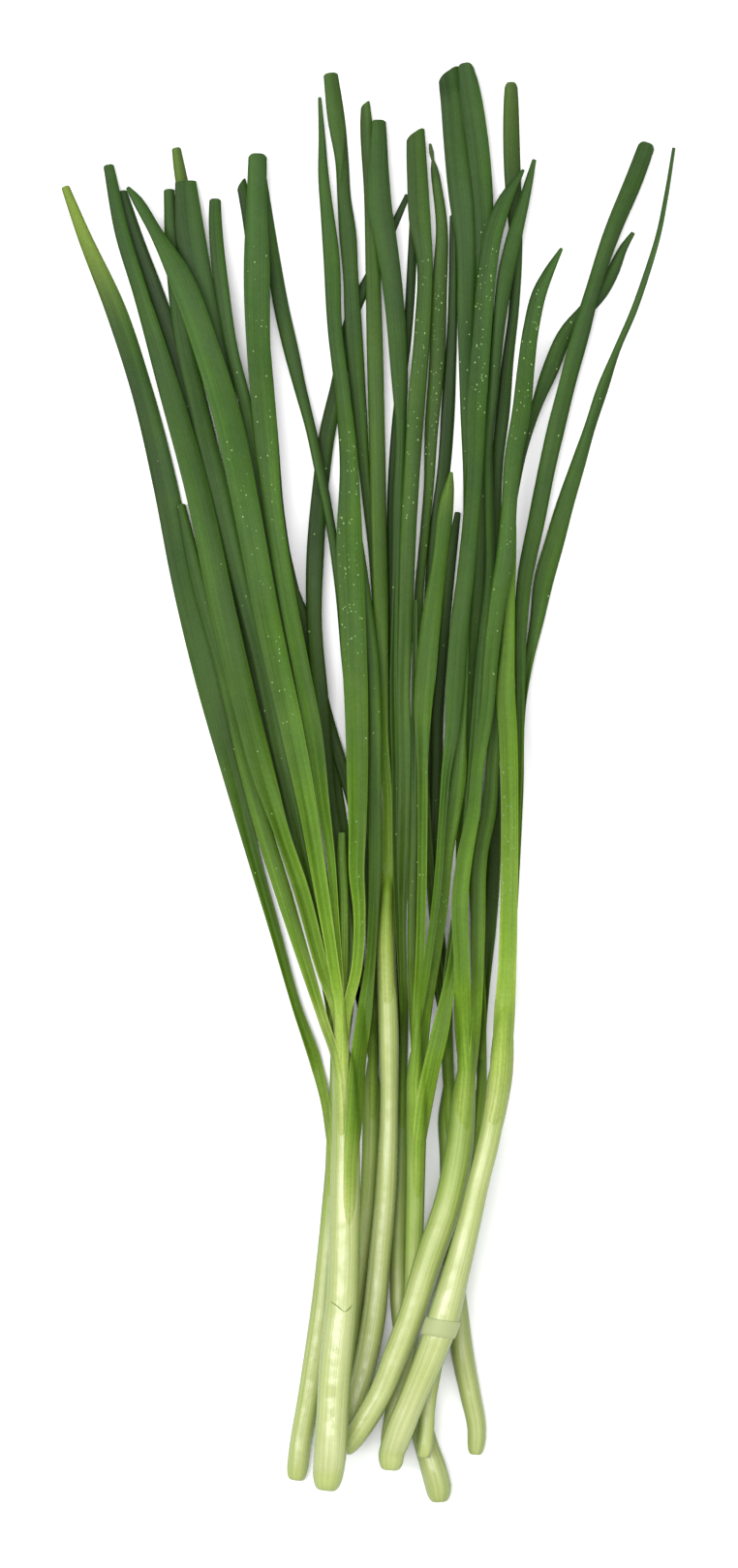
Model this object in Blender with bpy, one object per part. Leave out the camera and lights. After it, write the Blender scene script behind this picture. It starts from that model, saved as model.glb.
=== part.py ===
"""A bunch of garlic chives lying on a table: ten cut shoots, each a pale stalk that forks into its leaves.

X is to the right, Y runs from the cut ends to the leaf tips and Z is up, with the table at zero.
Routes are in millimetres; the objects are made in metres.
"""

import bpy
import numpy as np

METRES = 0.001

# How the strips are piled up
GRID_STEP = 0.4
GRID_LOW_X = -95.0
GRID_LOW_Y = -200.0
GRID_SIZE = (480, 1000)
GAP = 0.45
SETTLING_ROUNDS = 400
LEAF_SAG = 0.0012
STALK_SAG = 0.0002
ROOT_ZONE = 34.0
END_DROOP = 0.03

# Cross sections
STALK_SIDES = 8
STALK_FLATNESS = 0.84
EDGE_THICKNESS = 0.6
BLADE_THICKNESS = 1.15
SHALLOWEST_FOLD = 0.35
DEEPEST_FOLD = 1.5
FOLD_LENGTH = 150.0
ROOT_THICKNESS = 1.6

# The dry sheath ring round the front right stalk
RING_CENTRE_Y = -139.5
RING_HALF_LENGTH = 2.3
RING_RAISE = 0.5

# Each strip is (name, shoot, points), from the lowest in the pile to the highest.
# A point is (x, y, width across the photo).
PILE = [
    ("stalk", "low_right", [
        (18.3, -186.0, 6.0), (18.0, -183.0, 6.8), (16.8, -177.5, 7.0), (15.2, -172.5, 6.5),
        (13.2, -165.0, 6.2), (11.2, -155.0, 5.8), (9.2, -145.0, 5.0), (7.8, -135.0, 4.5),
        (7.5, -122.5, 4.0), (7.8, -110.0, 4.0), (8.2, -97.5, 4.0), (8.5, -82.5, 3.6),
        (8.6, -67.5, 3.2)]),
    ("leaf_41", "low_right", [
        (8.5, -76.0, 2.2), (8.2, -60.0, 2.2), (7.6, -37.5, 2.3), (6.5, -7.5, 2.3),
        (6.0, 22.5, 2.3), (5.8, 52.5, 2.3), (6.0, 77.5, 2.3), (7.2, 95.0, 2.3),
        (9.8, 115.0, 2.3), (11.2, 137.5, 2.3), (11.5, 148.8, 1.8)]),
    ("stalk", "thin_left", [
        (-7.8, -171.2, 4.0), (-6.2, -157.5, 4.2), (-4.8, -147.5, 4.2), (-3.5, -135.0, 4.2),
        (-1.8, -122.5, 4.2), (-0.4, -110.0, 4.4), (0.4, -97.5, 4.6), (0.7, -82.5, 4.6),
        (0.9, -65.0, 4.0)]),
    ("leaf_11", "thin_left", [
        (1.2, -72.0, 2.4), (0.0, -65.0, 2.8), (-2.0, -55.0, 3.2), (-2.9, -47.5, 3.4), (-4.4, -32.5, 3.5),
        (-6.2, -17.5, 3.5), (-11.2, 12.5, 3.5),
        (-18.0, 42.5, 3.5), (-23.5, 67.5, 3.5), (-26.0, 92.5, 4.0), (-28.2, 117.5, 4.0),
        (-30.2, 140.0, 3.5), (-31.8, 150.0, 3.2), (-33.2, 156.0, 2.8)]),
    ("leaf_14", "thin_left", [
        (1.2, -72.0, 2.5), (0.8, -47.5, 2.8), (-0.2, -25.0, 3.0), (-3.8, -6.2, 3.2),
        (-7.5, 6.2, 3.2), (-11.0, 17.5, 3.5), (-14.5, 32.5, 3.5), (-17.0, 42.5, 3.8),
        (-19.5, 50.0, 3.0), (-23.0, 67.5, 3.0), (-25.0, 90.0, 3.0), (-26.5, 107.5, 3.0),
        (-27.8, 127.5, 2.0)]),
    ("stalk", "back_left", [
        (-18.9, -180.4, 5.6), (-17.6, -170.0, 5.7), (-15.8, -160.0, 5.8), (-13.8, -147.5, 6.0),
        (-12.0, -135.0, 6.0), (-10.8, -122.5, 5.5), (-9.8, -110.0, 5.0), (-9.0, -97.5, 4.5),
        (-9.2, -87.5, 3.8), (-9.2, -79.0, 2.9)]),
    ("leaf_09", "back_left", [
        (-9.2, -86.0, 2.4), (-8.2, -57.5, 3.0), (-12.8, -22.5, 3.5), (-20.2, 12.5, 4.5),
        (-26.5, 47.5, 5.0), (-32.8, 77.5, 5.0), (-37.0, 92.5, 5.0), (-41.0, 107.5, 4.6),
        (-44.5, 127.5, 4.2), (-47.2, 148.8, 3.6), (-49.2, 160.0, 3.0), (-50.0, 165.0, 2.4)]),
    ("leaf_05", "back_left", [
        (-9.2, -86.0, 2.4), (-8.6, -67.5, 3.0), (-10.6, -52.5, 3.2), (-15.4, -32.5, 3.6),
        (-20.4, -12.5, 4.0), (-24.6, 7.5, 4.6), (-28.2, 27.5, 5.0), (-34.0, 52.5, 4.5),
        (-42.2, 82.5, 5.0), (-47.2, 102.5, 5.0), (-55.5, 127.5, 4.8), (-60.0, 140.0, 4.2),
        (-64.2, 153.8, 3.0)]),
    ("leaf_07", "back_left", [
        (-9.2, -86.0, 2.4), (-8.8, -62.5, 2.6), (-10.8, -42.5, 3.0), (-16.8, -17.5, 3.5),
        (-22.8, 7.5, 4.0), (-28.2, 32.5, 4.5), (-34.8, 57.5, 5.0), (-39.5, 77.5, 5.8),
        (-44.0, 97.5, 5.0), (-48.5, 117.5, 4.5), (-51.0, 137.5, 3.5), (-51.8, 154.2, 2.8)]),
    ("leaf_06", "back_left", [
        (-9.2, -86.0, 2.4), (-8.5, -67.5, 3.0), (-8.8, -50.0, 3.0), (-14.0, -22.5, 3.5),
        (-19.5, 7.5, 5.0), (-25.8, 37.5, 6.0), (-31.2, 67.5, 6.5), (-36.2, 92.5, 7.0),
        (-41.5, 117.5, 7.5), (-43.5, 127.5, 7.5), (-46.2, 142.5, 7.5), (-47.5, 156.2, 5.5)]),
    ("leaf_08", "back_left", [
        (-9.2, -86.0, 2.4), (-8.5, -62.5, 2.6), (-9.5, -42.5, 3.0), (-14.2, -12.5, 3.5),
        (-19.2, 17.5, 4.0), (-24.2, 47.5, 4.5), (-28.8, 77.5, 4.2), (-31.8, 97.5, 3.5),
        (-35.5, 112.5, 3.3), (-38.0, 127.5, 3.8), (-39.8, 147.5, 3.3), (-39.8, 151.5, 3.0)]),
    ("leaf_13", "back_left", [
        (-9.2, -86.0, 2.4), (-6.9, -67.5, 3.4), (-5.4, -52.5, 3.6), (-5.9, -37.5, 3.4),
        (-7.9, -22.5, 3.6), (-10.5, -2.5, 4.0), (-12.5, 22.5, 4.0), (-14.2, 42.5, 4.0), (-14.0, 57.5, 4.5),
        (-12.5, 77.5, 4.2), (-10.5, 92.5, 4.2), (-8.2, 102.5, 4.0), (-3.8, 123.0, 3.5),
        (1.8, 134.5, 3.0), (6.8, 145.5, 2.2), (10.0, 152.8, 1.5)]),
    ("leaf_01", "back_left", [
        (-9.8, -92.0, 2.6), (-11.3, -82.5, 2.5), (-13.7, -72.5, 3.3), (-18.8, -57.5, 2.6),
        (-24.5, -37.5, 3.0), (-30.2, -17.5, 3.8), (-35.2, 2.5, 5.8), (-41.8, 27.5, 7.0),
        (-47.8, 52.5, 6.8), (-52.8, 77.5, 6.5), (-59.0, 102.5, 5.8), (-65.5, 122.5, 5.8),
        (-74.0, 142.5, 3.8), (-78.8, 155.0, 2.3)]),
    ("leaf_12", "thin_left", [
        (1.2, -74.0, 2.5), (1.2, -57.5, 2.8), (1.2, -37.5, 3.0), (1.2, -17.5, 3.0),
        (-0.8, -2.5, 3.2), (-3.2, 12.5, 3.2), (-5.2, 27.5, 3.0), (-7.8, 52.5, 2.5),
        (-10.0, 67.5, 2.4), (-13.0, 82.5, 2.8), (-15.2, 92.5, 2.8), (-17.8, 102.5, 3.3),
        (-20.2, 112.5, 4.0), (-22.5, 122.5, 4.0), (-25.0, 137.5, 3.5), (-27.8, 157.5, 2.5)]),
    ("stalk", "right", [
        (27.5, -173.8, 4.6), (27.9, -167.5, 4.9), (26.1, -157.5, 5.5), (24.2, -147.5, 5.8),
        (23.2, -137.5, 5.2), (22.0, -127.5, 5.2), (21.2, -117.5, 5.0), (20.8, -107.5, 5.0),
        (20.9, -97.5, 5.2), (20.6, -87.5, 5.6), (20.4, -72.5, 5.2)]),
    ("leaf_40", "right", [
        (20.8, -80.0, 2.6), (20.3, -62.5, 2.6), (18.2, -37.5, 2.6), (16.2, -7.5, 2.4),
        (15.5, 22.5, 2.6), (15.8, 47.5, 3.0), (17.2, 65.0, 3.2), (19.5, 82.5, 3.4),
        (20.5, 97.5, 3.5), (21.0, 107.5, 3.1), (21.5, 117.5, 2.6), (21.8, 132.5, 2.2),
        (21.8, 147.5, 1.8)]),
    ("leaf_48", "right", [
        (20.6, -80.0, 2.6), (20.0, -65.0, 2.6), (17.4, -47.5, 2.6), (16.8, -27.5, 2.2),
        (17.0, -12.5, 2.2), (17.5, 5.0, 3.0), (17.8, 17.5, 3.0), (18.8, 30.0, 2.6),
        (20.2, 47.5, 2.7), (21.8, 62.5, 2.5), (23.0, 70.5, 1.6)]),
    ("leaf_28", "right", [
        (20.6, -80.0, 2.6), (19.4, -62.5, 2.6), (17.4, -42.5, 2.4), (15.5, -17.5, 2.4),
        (13.8, 7.5, 2.5), (12.8, 27.5, 2.5), (13.0, 50.0, 2.4), (14.2, 62.5, 2.4),
        (15.5, 77.5, 2.6), (16.2, 92.5, 3.5), (17.5, 107.5, 4.0), (18.2, 127.5, 4.0),
        (18.8, 145.0, 3.0), (17.2, 157.5, 2.3), (15.8, 166.0, 1.2)]),
    ("stalk", "thin_right", [
        (14.0, -174.0, 4.2), (14.8, -167.5, 4.0), (15.0, -162.5, 4.0), (17.0, -150.0, 4.0),
        (19.8, -135.0, 4.0), (22.8, -120.0, 4.0), (25.2, -107.5, 4.0), (27.2, -95.0, 3.8),
        (28.5, -82.5, 3.2), (29.5, -70.0, 3.0)]),
    ("leaf_52", "thin_right", [
        (28.8, -80.0, 2.2), (29.1, -67.5, 2.1), (30.0, -52.5, 2.5), (31.2, -37.5, 3.4),
        (32.1, -22.5, 3.8), (32.4, -7.5, 3.6), (32.2, 7.5, 3.0), (31.6, 27.5, 2.2), (31.0, 45.0, 1.4)]),
    ("leaf_32", "thin_right", [
        (29.0, -78.0, 2.4), (28.9, -60.0, 2.4), (28.6, -37.5, 2.6), (29.4, -17.5, 2.8),
        (31.6, -2.5, 2.9), (32.8, 17.5, 3.0), (32.8, 37.5, 3.0), (32.6, 52.5, 3.0),
        (32.8, 67.5, 2.8), (33.2, 82.5, 3.0), (34.8, 97.5, 3.5), (36.0, 110.0, 3.0),
        (37.5, 122.5, 2.6), (38.2, 137.5, 3.0), (37.8, 147.5, 3.8), (37.2, 157.5, 4.3),
        (36.8, 175.0, 4.0), (36.8, 182.0, 3.4)]),
    ("stalk", "centre", [
        (-6.0, -170.0, 5.5), (-4.2, -161.5, 6.0), (-1.6, -152.5, 6.0), (0.5, -142.5, 6.2),
        (2.8, -122.5, 5.8), (4.5, -102.5, 5.5), (5.2, -82.5, 4.8), (5.0, -62.5, 5.3),
        (4.5, -47.5, 5.0), (4.4, -37.5, 4.6), (4.8, -28.0, 4.0)]),
    ("leaf_22", "centre", [
        (4.5, -40.0, 2.8), (5.0, -22.5, 2.5), (5.2, -7.5, 2.5), (4.5, 7.5, 2.8),
        (3.0, 37.5, 3.2), (1.2, 62.5, 3.2), (-0.8, 77.5, 2.8), (-2.5, 97.5, 3.8),
        (-4.0, 117.5, 4.5), (-4.8, 132.5, 4.0), (-5.5, 142.5, 4.5), (-6.5, 152.5, 3.5),
        (-7.0, 161.2, 3.5), (-8.5, 172.5, 4.5), (-10.0, 184.4, 3.8)]),
    ("leaf_18", "centre", [
        (4.5, -42.5, 4.0), (4.8, -27.5, 3.8), (4.9, -12.5, 3.0), (4.7, -2.5, 2.6),
        (3.5, 12.5, 3.0), (3.2, 27.5, 3.5), (3.0, 47.5, 4.0), (2.5, 67.5, 4.2),
        (2.0, 92.5, 4.2), (1.5, 112.5, 4.2), (1.0, 132.5, 3.8), (0.2, 152.5, 3.0),
        (-0.8, 172.5, 3.0), (-1.0, 176.5, 2.4)]),
    ("leaf_20", "low_right", [
        (8.6, -76.0, 2.4), (9.0, -60.0, 2.0), (8.4, -47.5, 2.0), (7.6, -32.5, 2.0),
        (7.2, -17.5, 2.2), (7.0, 2.5, 2.2), (6.5, 27.5, 2.2), (6.8, 47.5, 2.1),
        (7.5, 72.5, 3.0), (8.2, 92.5, 2.9), (7.8, 107.5, 4.5), (6.2, 127.5, 5.2),
        (4.0, 142.5, 6.0), (3.0, 147.5, 6.4), (2.5, 157.5, 5.5), (2.5, 172.0, 3.8)]),
    ("leaf_26", "low_right", [
        (8.7, -76.0, 2.4), (9.2, -60.0, 1.9), (8.9, -47.5, 1.9), (8.7, -32.5, 2.1),
        (9.0, -22.5, 3.4), (9.5, 2.5, 3.8), (9.0, 22.5, 3.3), (9.5, 42.5, 3.8),
        (10.0, 62.5, 4.2), (11.2, 82.5, 4.2), (12.2, 97.5, 4.5), (13.8, 117.5, 4.2),
        (14.2, 137.5, 4.5), (13.5, 142.5, 5.4), (12.5, 157.5, 5.4), (12.0, 169.0, 4.8)]),
    ("stalk", "inner_right", [
        (4.8, -173.2, 4.4), (5.5, -167.5, 4.5), (7.8, -155.0, 4.5), (10.0, -145.0, 4.8),
        (11.2, -132.5, 4.8), (11.8, -112.5, 4.8), (12.1, -97.5, 5.0), (12.2, -87.5, 5.3),
        (12.0, -72.5, 4.6), (12.1, -61.2, 3.8)]),
    ("stalk", "crossing", [
        (-6.6, -172.2, 6.4), (-3.6, -168.0, 7.0), (-0.4, -163.0, 7.2), (2.8, -157.5, 7.0),
        (6.9, -147.5, 7.2), (10.7, -137.5, 7.2), (15.4, -122.5, 7.7), (20.5, -107.5, 7.6),
        (23.4, -92.5, 7.2), (24.3, -82.5, 6.3), (25.1, -72.5, 5.2), (24.8, -62.5, 4.4)]),
    ("leaf_29", "crossing", [
        (24.3, -74.0, 3.0), (24.0, -60.0, 3.0), (23.8, -42.5, 3.2), (24.2, -17.5, 3.5),
        (24.8, 7.5, 3.8), (25.5, 32.5, 4.0), (26.2, 57.5, 4.2), (26.5, 77.5, 4.2),
        (25.8, 97.5, 4.4), (25.2, 117.5, 4.5), (24.8, 142.5, 5.5), (23.8, 152.5, 6.4),
        (22.4, 167.5, 6.4), (21.7, 177.5, 6.5), (20.6, 185.0, 6.0)]),
    ("leaf_30", "thin_right", [
        (29.2, -78.0, 2.6), (29.0, -62.5, 2.6), (28.1, -42.5, 3.0), (27.0, -17.5, 3.3),
        (26.8, 7.5, 3.2), (27.5, 32.5, 3.2), (28.5, 52.5, 3.0), (29.5, 72.5, 3.0),
        (30.0, 92.5, 3.8), (29.8, 112.5, 4.5), (30.0, 132.5, 4.8), (29.8, 147.5, 5.0),
        (27.9, 167.5, 5.8), (25.9, 180.0, 5.6), (24.7, 186.8, 4.4)]),
    ("leaf_33", "right", [
        (20.9, -80.0, 2.6), (20.2, -65.0, 2.8), (20.4, -50.0, 2.6), (22.8, -32.5, 2.6),
        (25.2, -12.5, 2.6), (27.2, 12.5, 2.6), (29.2, 37.5, 2.6), (31.0, 52.5, 2.5),
        (31.0, 72.5, 2.5), (30.8, 87.5, 2.4), (32.2, 102.5, 2.8), (33.5, 117.5, 3.2),
        (35.5, 132.5, 4.2), (37.8, 142.5, 4.0), (40.5, 152.5, 2.7), (42.8, 161.8, 1.2)]),
    ("leaf_51", "inner_right", [
        (12.9, -92.5, 3.4), (14.2, -82.5, 4.6), (15.9, -73.8, 4.5), (18.5, -62.5, 4.4),
        (20.0, -55.0, 3.5), (21.5, -47.5, 3.0), (22.8, -37.5, 2.6), (23.8, -27.5, 1.6)]),
    ("leaf_43", "inner_right", [
        (12.2, -77.5, 4.0), (13.2, -66.2, 4.4), (14.2, -57.5, 4.4), (16.0, -47.5, 4.0),
        (18.5, -32.5, 3.5), (20.0, -17.5, 3.7), (21.8, -7.5, 3.7), (23.0, 2.5, 4.2),
        (23.5, 12.5, 3.0), (24.2, 27.5, 2.8), (24.8, 42.5, 2.0)]),
    ("leaf_53", "inner_right", [
        (11.8, -70.0, 2.0), (11.2, -55.0, 2.1), (11.1, -42.5, 2.4), (11.3, -27.5, 2.5),
        (11.6, -12.5, 2.6), (11.7, 2.5, 2.2), (11.8, 17.5, 2.0), (11.9, 32.5, 1.7), (12.0, 47.5, 1.2)]),
    ("leaf_42", "inner_right", [
        (12.0, -72.0, 2.2), (12.1, -60.0, 1.9), (13.0, -47.5, 2.3), (13.6, -27.5, 2.4),
        (13.8, -7.5, 2.5), (13.8, 7.5, 3.0), (13.8, 17.5, 4.4), (14.5, 27.5, 5.2),
        (16.0, 42.5, 5.0), (18.2, 57.5, 4.0), (20.0, 72.5, 3.7), (20.8, 77.5, 2.3),
        (21.2, 80.5, 1.0)]),
    ("leaf_31", "inner_right", [
        (12.4, -74.0, 2.4), (12.9, -60.0, 2.2), (14.8, -47.5, 2.0), (17.5, -27.5, 2.0),
        (19.0, -7.5, 2.0), (19.8, 2.5, 2.4), (21.2, 12.5, 3.5), (21.8, 20.0, 4.5),
        (23.0, 37.5, 4.8), (25.2, 57.5, 4.3), (27.0, 77.5, 4.3), (27.8, 97.5, 5.2),
        (29.2, 117.5, 5.0), (30.5, 132.5, 5.0), (32.2, 142.5, 4.9), (36.0, 152.5, 3.8),
        (37.8, 155.5, 2.6), (40.0, 159.0, 1.0)]),
    ("leaf_37", "crossing", [
        (26.2, -76.0, 2.5), (27.4, -65.0, 2.5), (27.8, -52.5, 3.1), (28.0, -37.5, 3.8),
        (28.8, -17.5, 3.8), (30.8, -7.5, 3.9), (31.8, 5.0, 3.4), (32.5, 17.5, 2.8),
        (33.2, 42.5, 2.8), (34.8, 57.5, 2.8), (37.2, 75.0, 2.8), (40.0, 87.5, 2.6),
        (43.2, 97.5, 3.0), (47.0, 107.5, 4.6), (51.5, 117.5, 4.6), (55.8, 122.5, 4.8),
        (60.2, 127.5, 4.3), (63.0, 132.5, 3.7), (66.2, 139.5, 2.3), (68.5, 143.0, 1.4)]),
    ("stalk", "front_right", [
        (5.5, -177.0, 6.6), (5.9, -172.5, 6.9), (7.5, -167.5, 7.7), (11.5, -157.5, 7.6),
        (15.6, -147.5, 8.2), (19.1, -137.5, 8.5), (20.5, -132.5, 8.0), (23.2, -122.5, 7.0),
        (25.8, -112.5, 6.2), (28.1, -102.5, 5.8), (30.6, -92.5, 5.8), (32.5, -82.5, 5.7),
        (33.6, -72.5, 6.1), (34.5, -62.5, 5.4)]),
    ("leaf_38", "front_right", [
        (34.4, -74.0, 2.6), (36.2, -47.5, 2.4), (37.8, -22.5, 2.2), (39.0, -2.5, 1.8),
        (40.0, 22.5, 1.8), (41.5, 32.5, 2.5), (43.5, 42.5, 3.7), (45.2, 52.5, 5.2),
        (48.0, 62.5, 5.2), (50.8, 72.5, 4.7), (54.0, 82.5, 4.0), (57.2, 92.5, 3.1),
        (60.5, 102.5, 3.2), (64.2, 112.5, 2.0), (68.5, 122.5, 1.9), (72.0, 132.5, 1.7),
        (75.0, 142.5, 1.4), (77.0, 152.5, 1.2), (79.0, 165.0, 0.9)]),
    ("leaf_36", "front_right", [
        (34.6, -74.0, 2.8), (35.8, -50.0, 2.8), (37.0, -27.5, 2.6), (38.0, -7.5, 2.4),
        (38.8, 7.5, 2.3), (39.0, 22.5, 2.5), (39.2, 40.0, 3.4), (40.2, 52.5, 4.0),
        (43.2, 67.5, 4.5), (46.2, 82.5, 4.5), (48.5, 92.5, 4.7), (51.0, 102.5, 4.5),
        (55.0, 117.5, 4.7), (57.8, 127.5, 4.0), (62.8, 142.5, 4.6), (69.0, 157.5, 5.0),
        (72.2, 166.2, 4.6)]),
    ("leaf_35", "front_right", [
        (34.0, -74.0, 5.0), (34.8, -60.0, 5.4), (35.5, -47.5, 4.8), (36.0, -27.5, 4.5),
        (36.2, -7.5, 4.5), (35.8, 12.5, 4.8), (35.2, 25.0, 4.8), (35.8, 35.0, 3.5),
        (36.2, 47.5, 3.0), (36.8, 62.5, 2.5), (37.0, 77.5, 1.5)]),
    ("leaf_34", "crossing", [
        (25.2, -74.0, 4.2), (24.4, -62.5, 4.7), (23.9, -47.5, 4.1), (23.5, -27.5, 4.3),
        (24.8, -17.5, 4.0), (26.8, -7.5, 3.5), (28.0, 5.0, 3.3), (30.2, 17.5, 3.5),
        (31.5, 32.5, 3.8), (33.2, 47.5, 4.5), (35.0, 57.5, 4.8), (36.2, 72.5, 4.0),
        (37.0, 82.5, 4.5), (39.5, 97.5, 4.9), (40.5, 107.5, 4.5), (41.8, 117.5, 4.2),
        (44.2, 127.5, 3.9), (46.5, 132.5, 3.0), (49.8, 138.5, 1.1)]),
    ("stalk", "front_left", [
        (-11.0, -181.8, 7.3), (-10.0, -172.5, 8.5), (-9.4, -162.5, 8.3), (-8.8, -152.5, 8.5),
        (-6.8, -132.5, 8.4), (-6.2, -110.0, 8.0), (-6.0, -97.5, 7.5), (-6.0, -85.0, 7.0),
        (-6.5, -75.0, 6.2), (-7.2, -66.2, 5.0), (-7.6, -58.8, 3.6)]),
    ("leaf_03", "front_left", [
        (-7.6, -76.0, 2.5), (-9.0, -68.8, 2.5), (-11.2, -62.5, 2.7), (-16.0, -47.5, 3.5),
        (-22.3, -27.5, 4.5), (-28.5, -7.5, 4.5), (-31.2, 2.5, 4.2), (-37.2, 27.5, 4.0),
        (-44.2, 52.5, 4.0), (-48.8, 72.5, 2.5)]),
    ("leaf_02", "front_left", [
        (-7.2, -72.0, 3.0), (-8.0, -60.0, 3.0), (-12.0, -47.5, 3.6), (-17.4, -27.5, 4.2),
        (-22.5, -12.5, 4.3), (-27.2, 2.5, 6.2), (-31.2, 17.5, 6.5), (-37.2, 42.5, 6.8),
        (-44.8, 77.5, 6.5), (-51.8, 102.5, 5.8), (-59.2, 127.5, 4.2), (-63.8, 142.5, 4.0),
        (-67.5, 160.5, 2.8)]),
    ("leaf_17", "front_left", [
        (-4.8, -97.5, 3.4), (-4.0, -87.5, 4.5), (-2.9, -72.5, 4.2), (-1.0, -57.5, 3.8),
        (0.2, -47.5, 2.8), (1.2, -32.5, 2.8), (1.6, -22.5, 3.4), (1.5, -2.5, 3.5),
        (1.5, 17.5, 3.5), (0.9, 32.5, 3.4), (-0.8, 47.5, 3.0), (-3.2, 67.5, 1.8)]),
    ("leaf_16", "front_left", [
        (-6.8, -68.0, 2.2), (-6.4, -47.5, 2.1), (-6.5, -27.5, 2.3), (-7.0, -17.5, 2.5),
        (-7.0, -12.5, 2.0)]),
    ("leaf_15", "front_left", [
        (-6.6, -72.0, 2.8), (-6.0, -60.0, 2.8), (-3.2, -47.5, 2.8), (-2.5, -32.5, 3.2),
        (-3.2, -22.5, 4.0), (-3.0, -12.5, 4.5), (-3.0, 2.5, 5.5), (-3.2, 17.5, 6.0),
        (-4.2, 42.5, 6.8), (-5.0, 62.5, 6.8), (-5.2, 82.5, 4.8), (-7.0, 102.5, 4.0),
        (-8.8, 117.5, 3.8), (-9.8, 137.5, 4.2), (-10.8, 147.5, 3.5), (-11.8, 157.5, 2.8),
        (-12.2, 167.5, 1.8), (-12.8, 178.0, 0.9)]),
    ("leaf_10", "front_left", [
        (-7.2, -70.0, 2.5), (-7.4, -55.0, 2.3), (-8.5, -37.5, 2.0), (-10.0, -17.5, 2.3),
        (-11.5, -7.5, 3.2), (-14.2, 12.5, 4.5), (-17.0, 27.5, 4.5), (-21.8, 52.5, 4.5),
        (-25.0, 72.5, 5.0), (-26.8, 92.5, 6.0), (-28.5, 112.5, 6.2), (-29.0, 132.5, 6.8),
        (-29.0, 152.5, 5.2), (-28.8, 163.2, 4.8)]),
    ("leaf_04", "front_left", [
        (-7.2, -72.0, 3.0), (-7.4, -58.8, 2.8), (-9.0, -47.5, 2.8), (-12.2, -27.5, 3.8),
        (-15.5, -7.5, 4.8), (-19.5, 12.5, 6.0), (-26.0, 42.5, 6.5), (-31.8, 72.5, 7.0),
        (-36.0, 92.5, 7.5), (-42.0, 112.5, 7.2), (-49.5, 132.5, 6.5), (-55.0, 142.5, 4.0),
        (-61.0, 152.5, 2.6), (-62.5, 154.4, 1.4)]),
]

CHIVE_GREEN = (0.10, 0.21, 0.04)
LEAF_ROUGHNESS = 0.45


def clear_scene():
    for found in list(bpy.data.objects):
        bpy.data.objects.remove(found)
    bunch = bpy.data.collections.new("garlic_chive_bunch")
    bpy.context.scene.collection.children.link(bunch)
    return bunch


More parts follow.
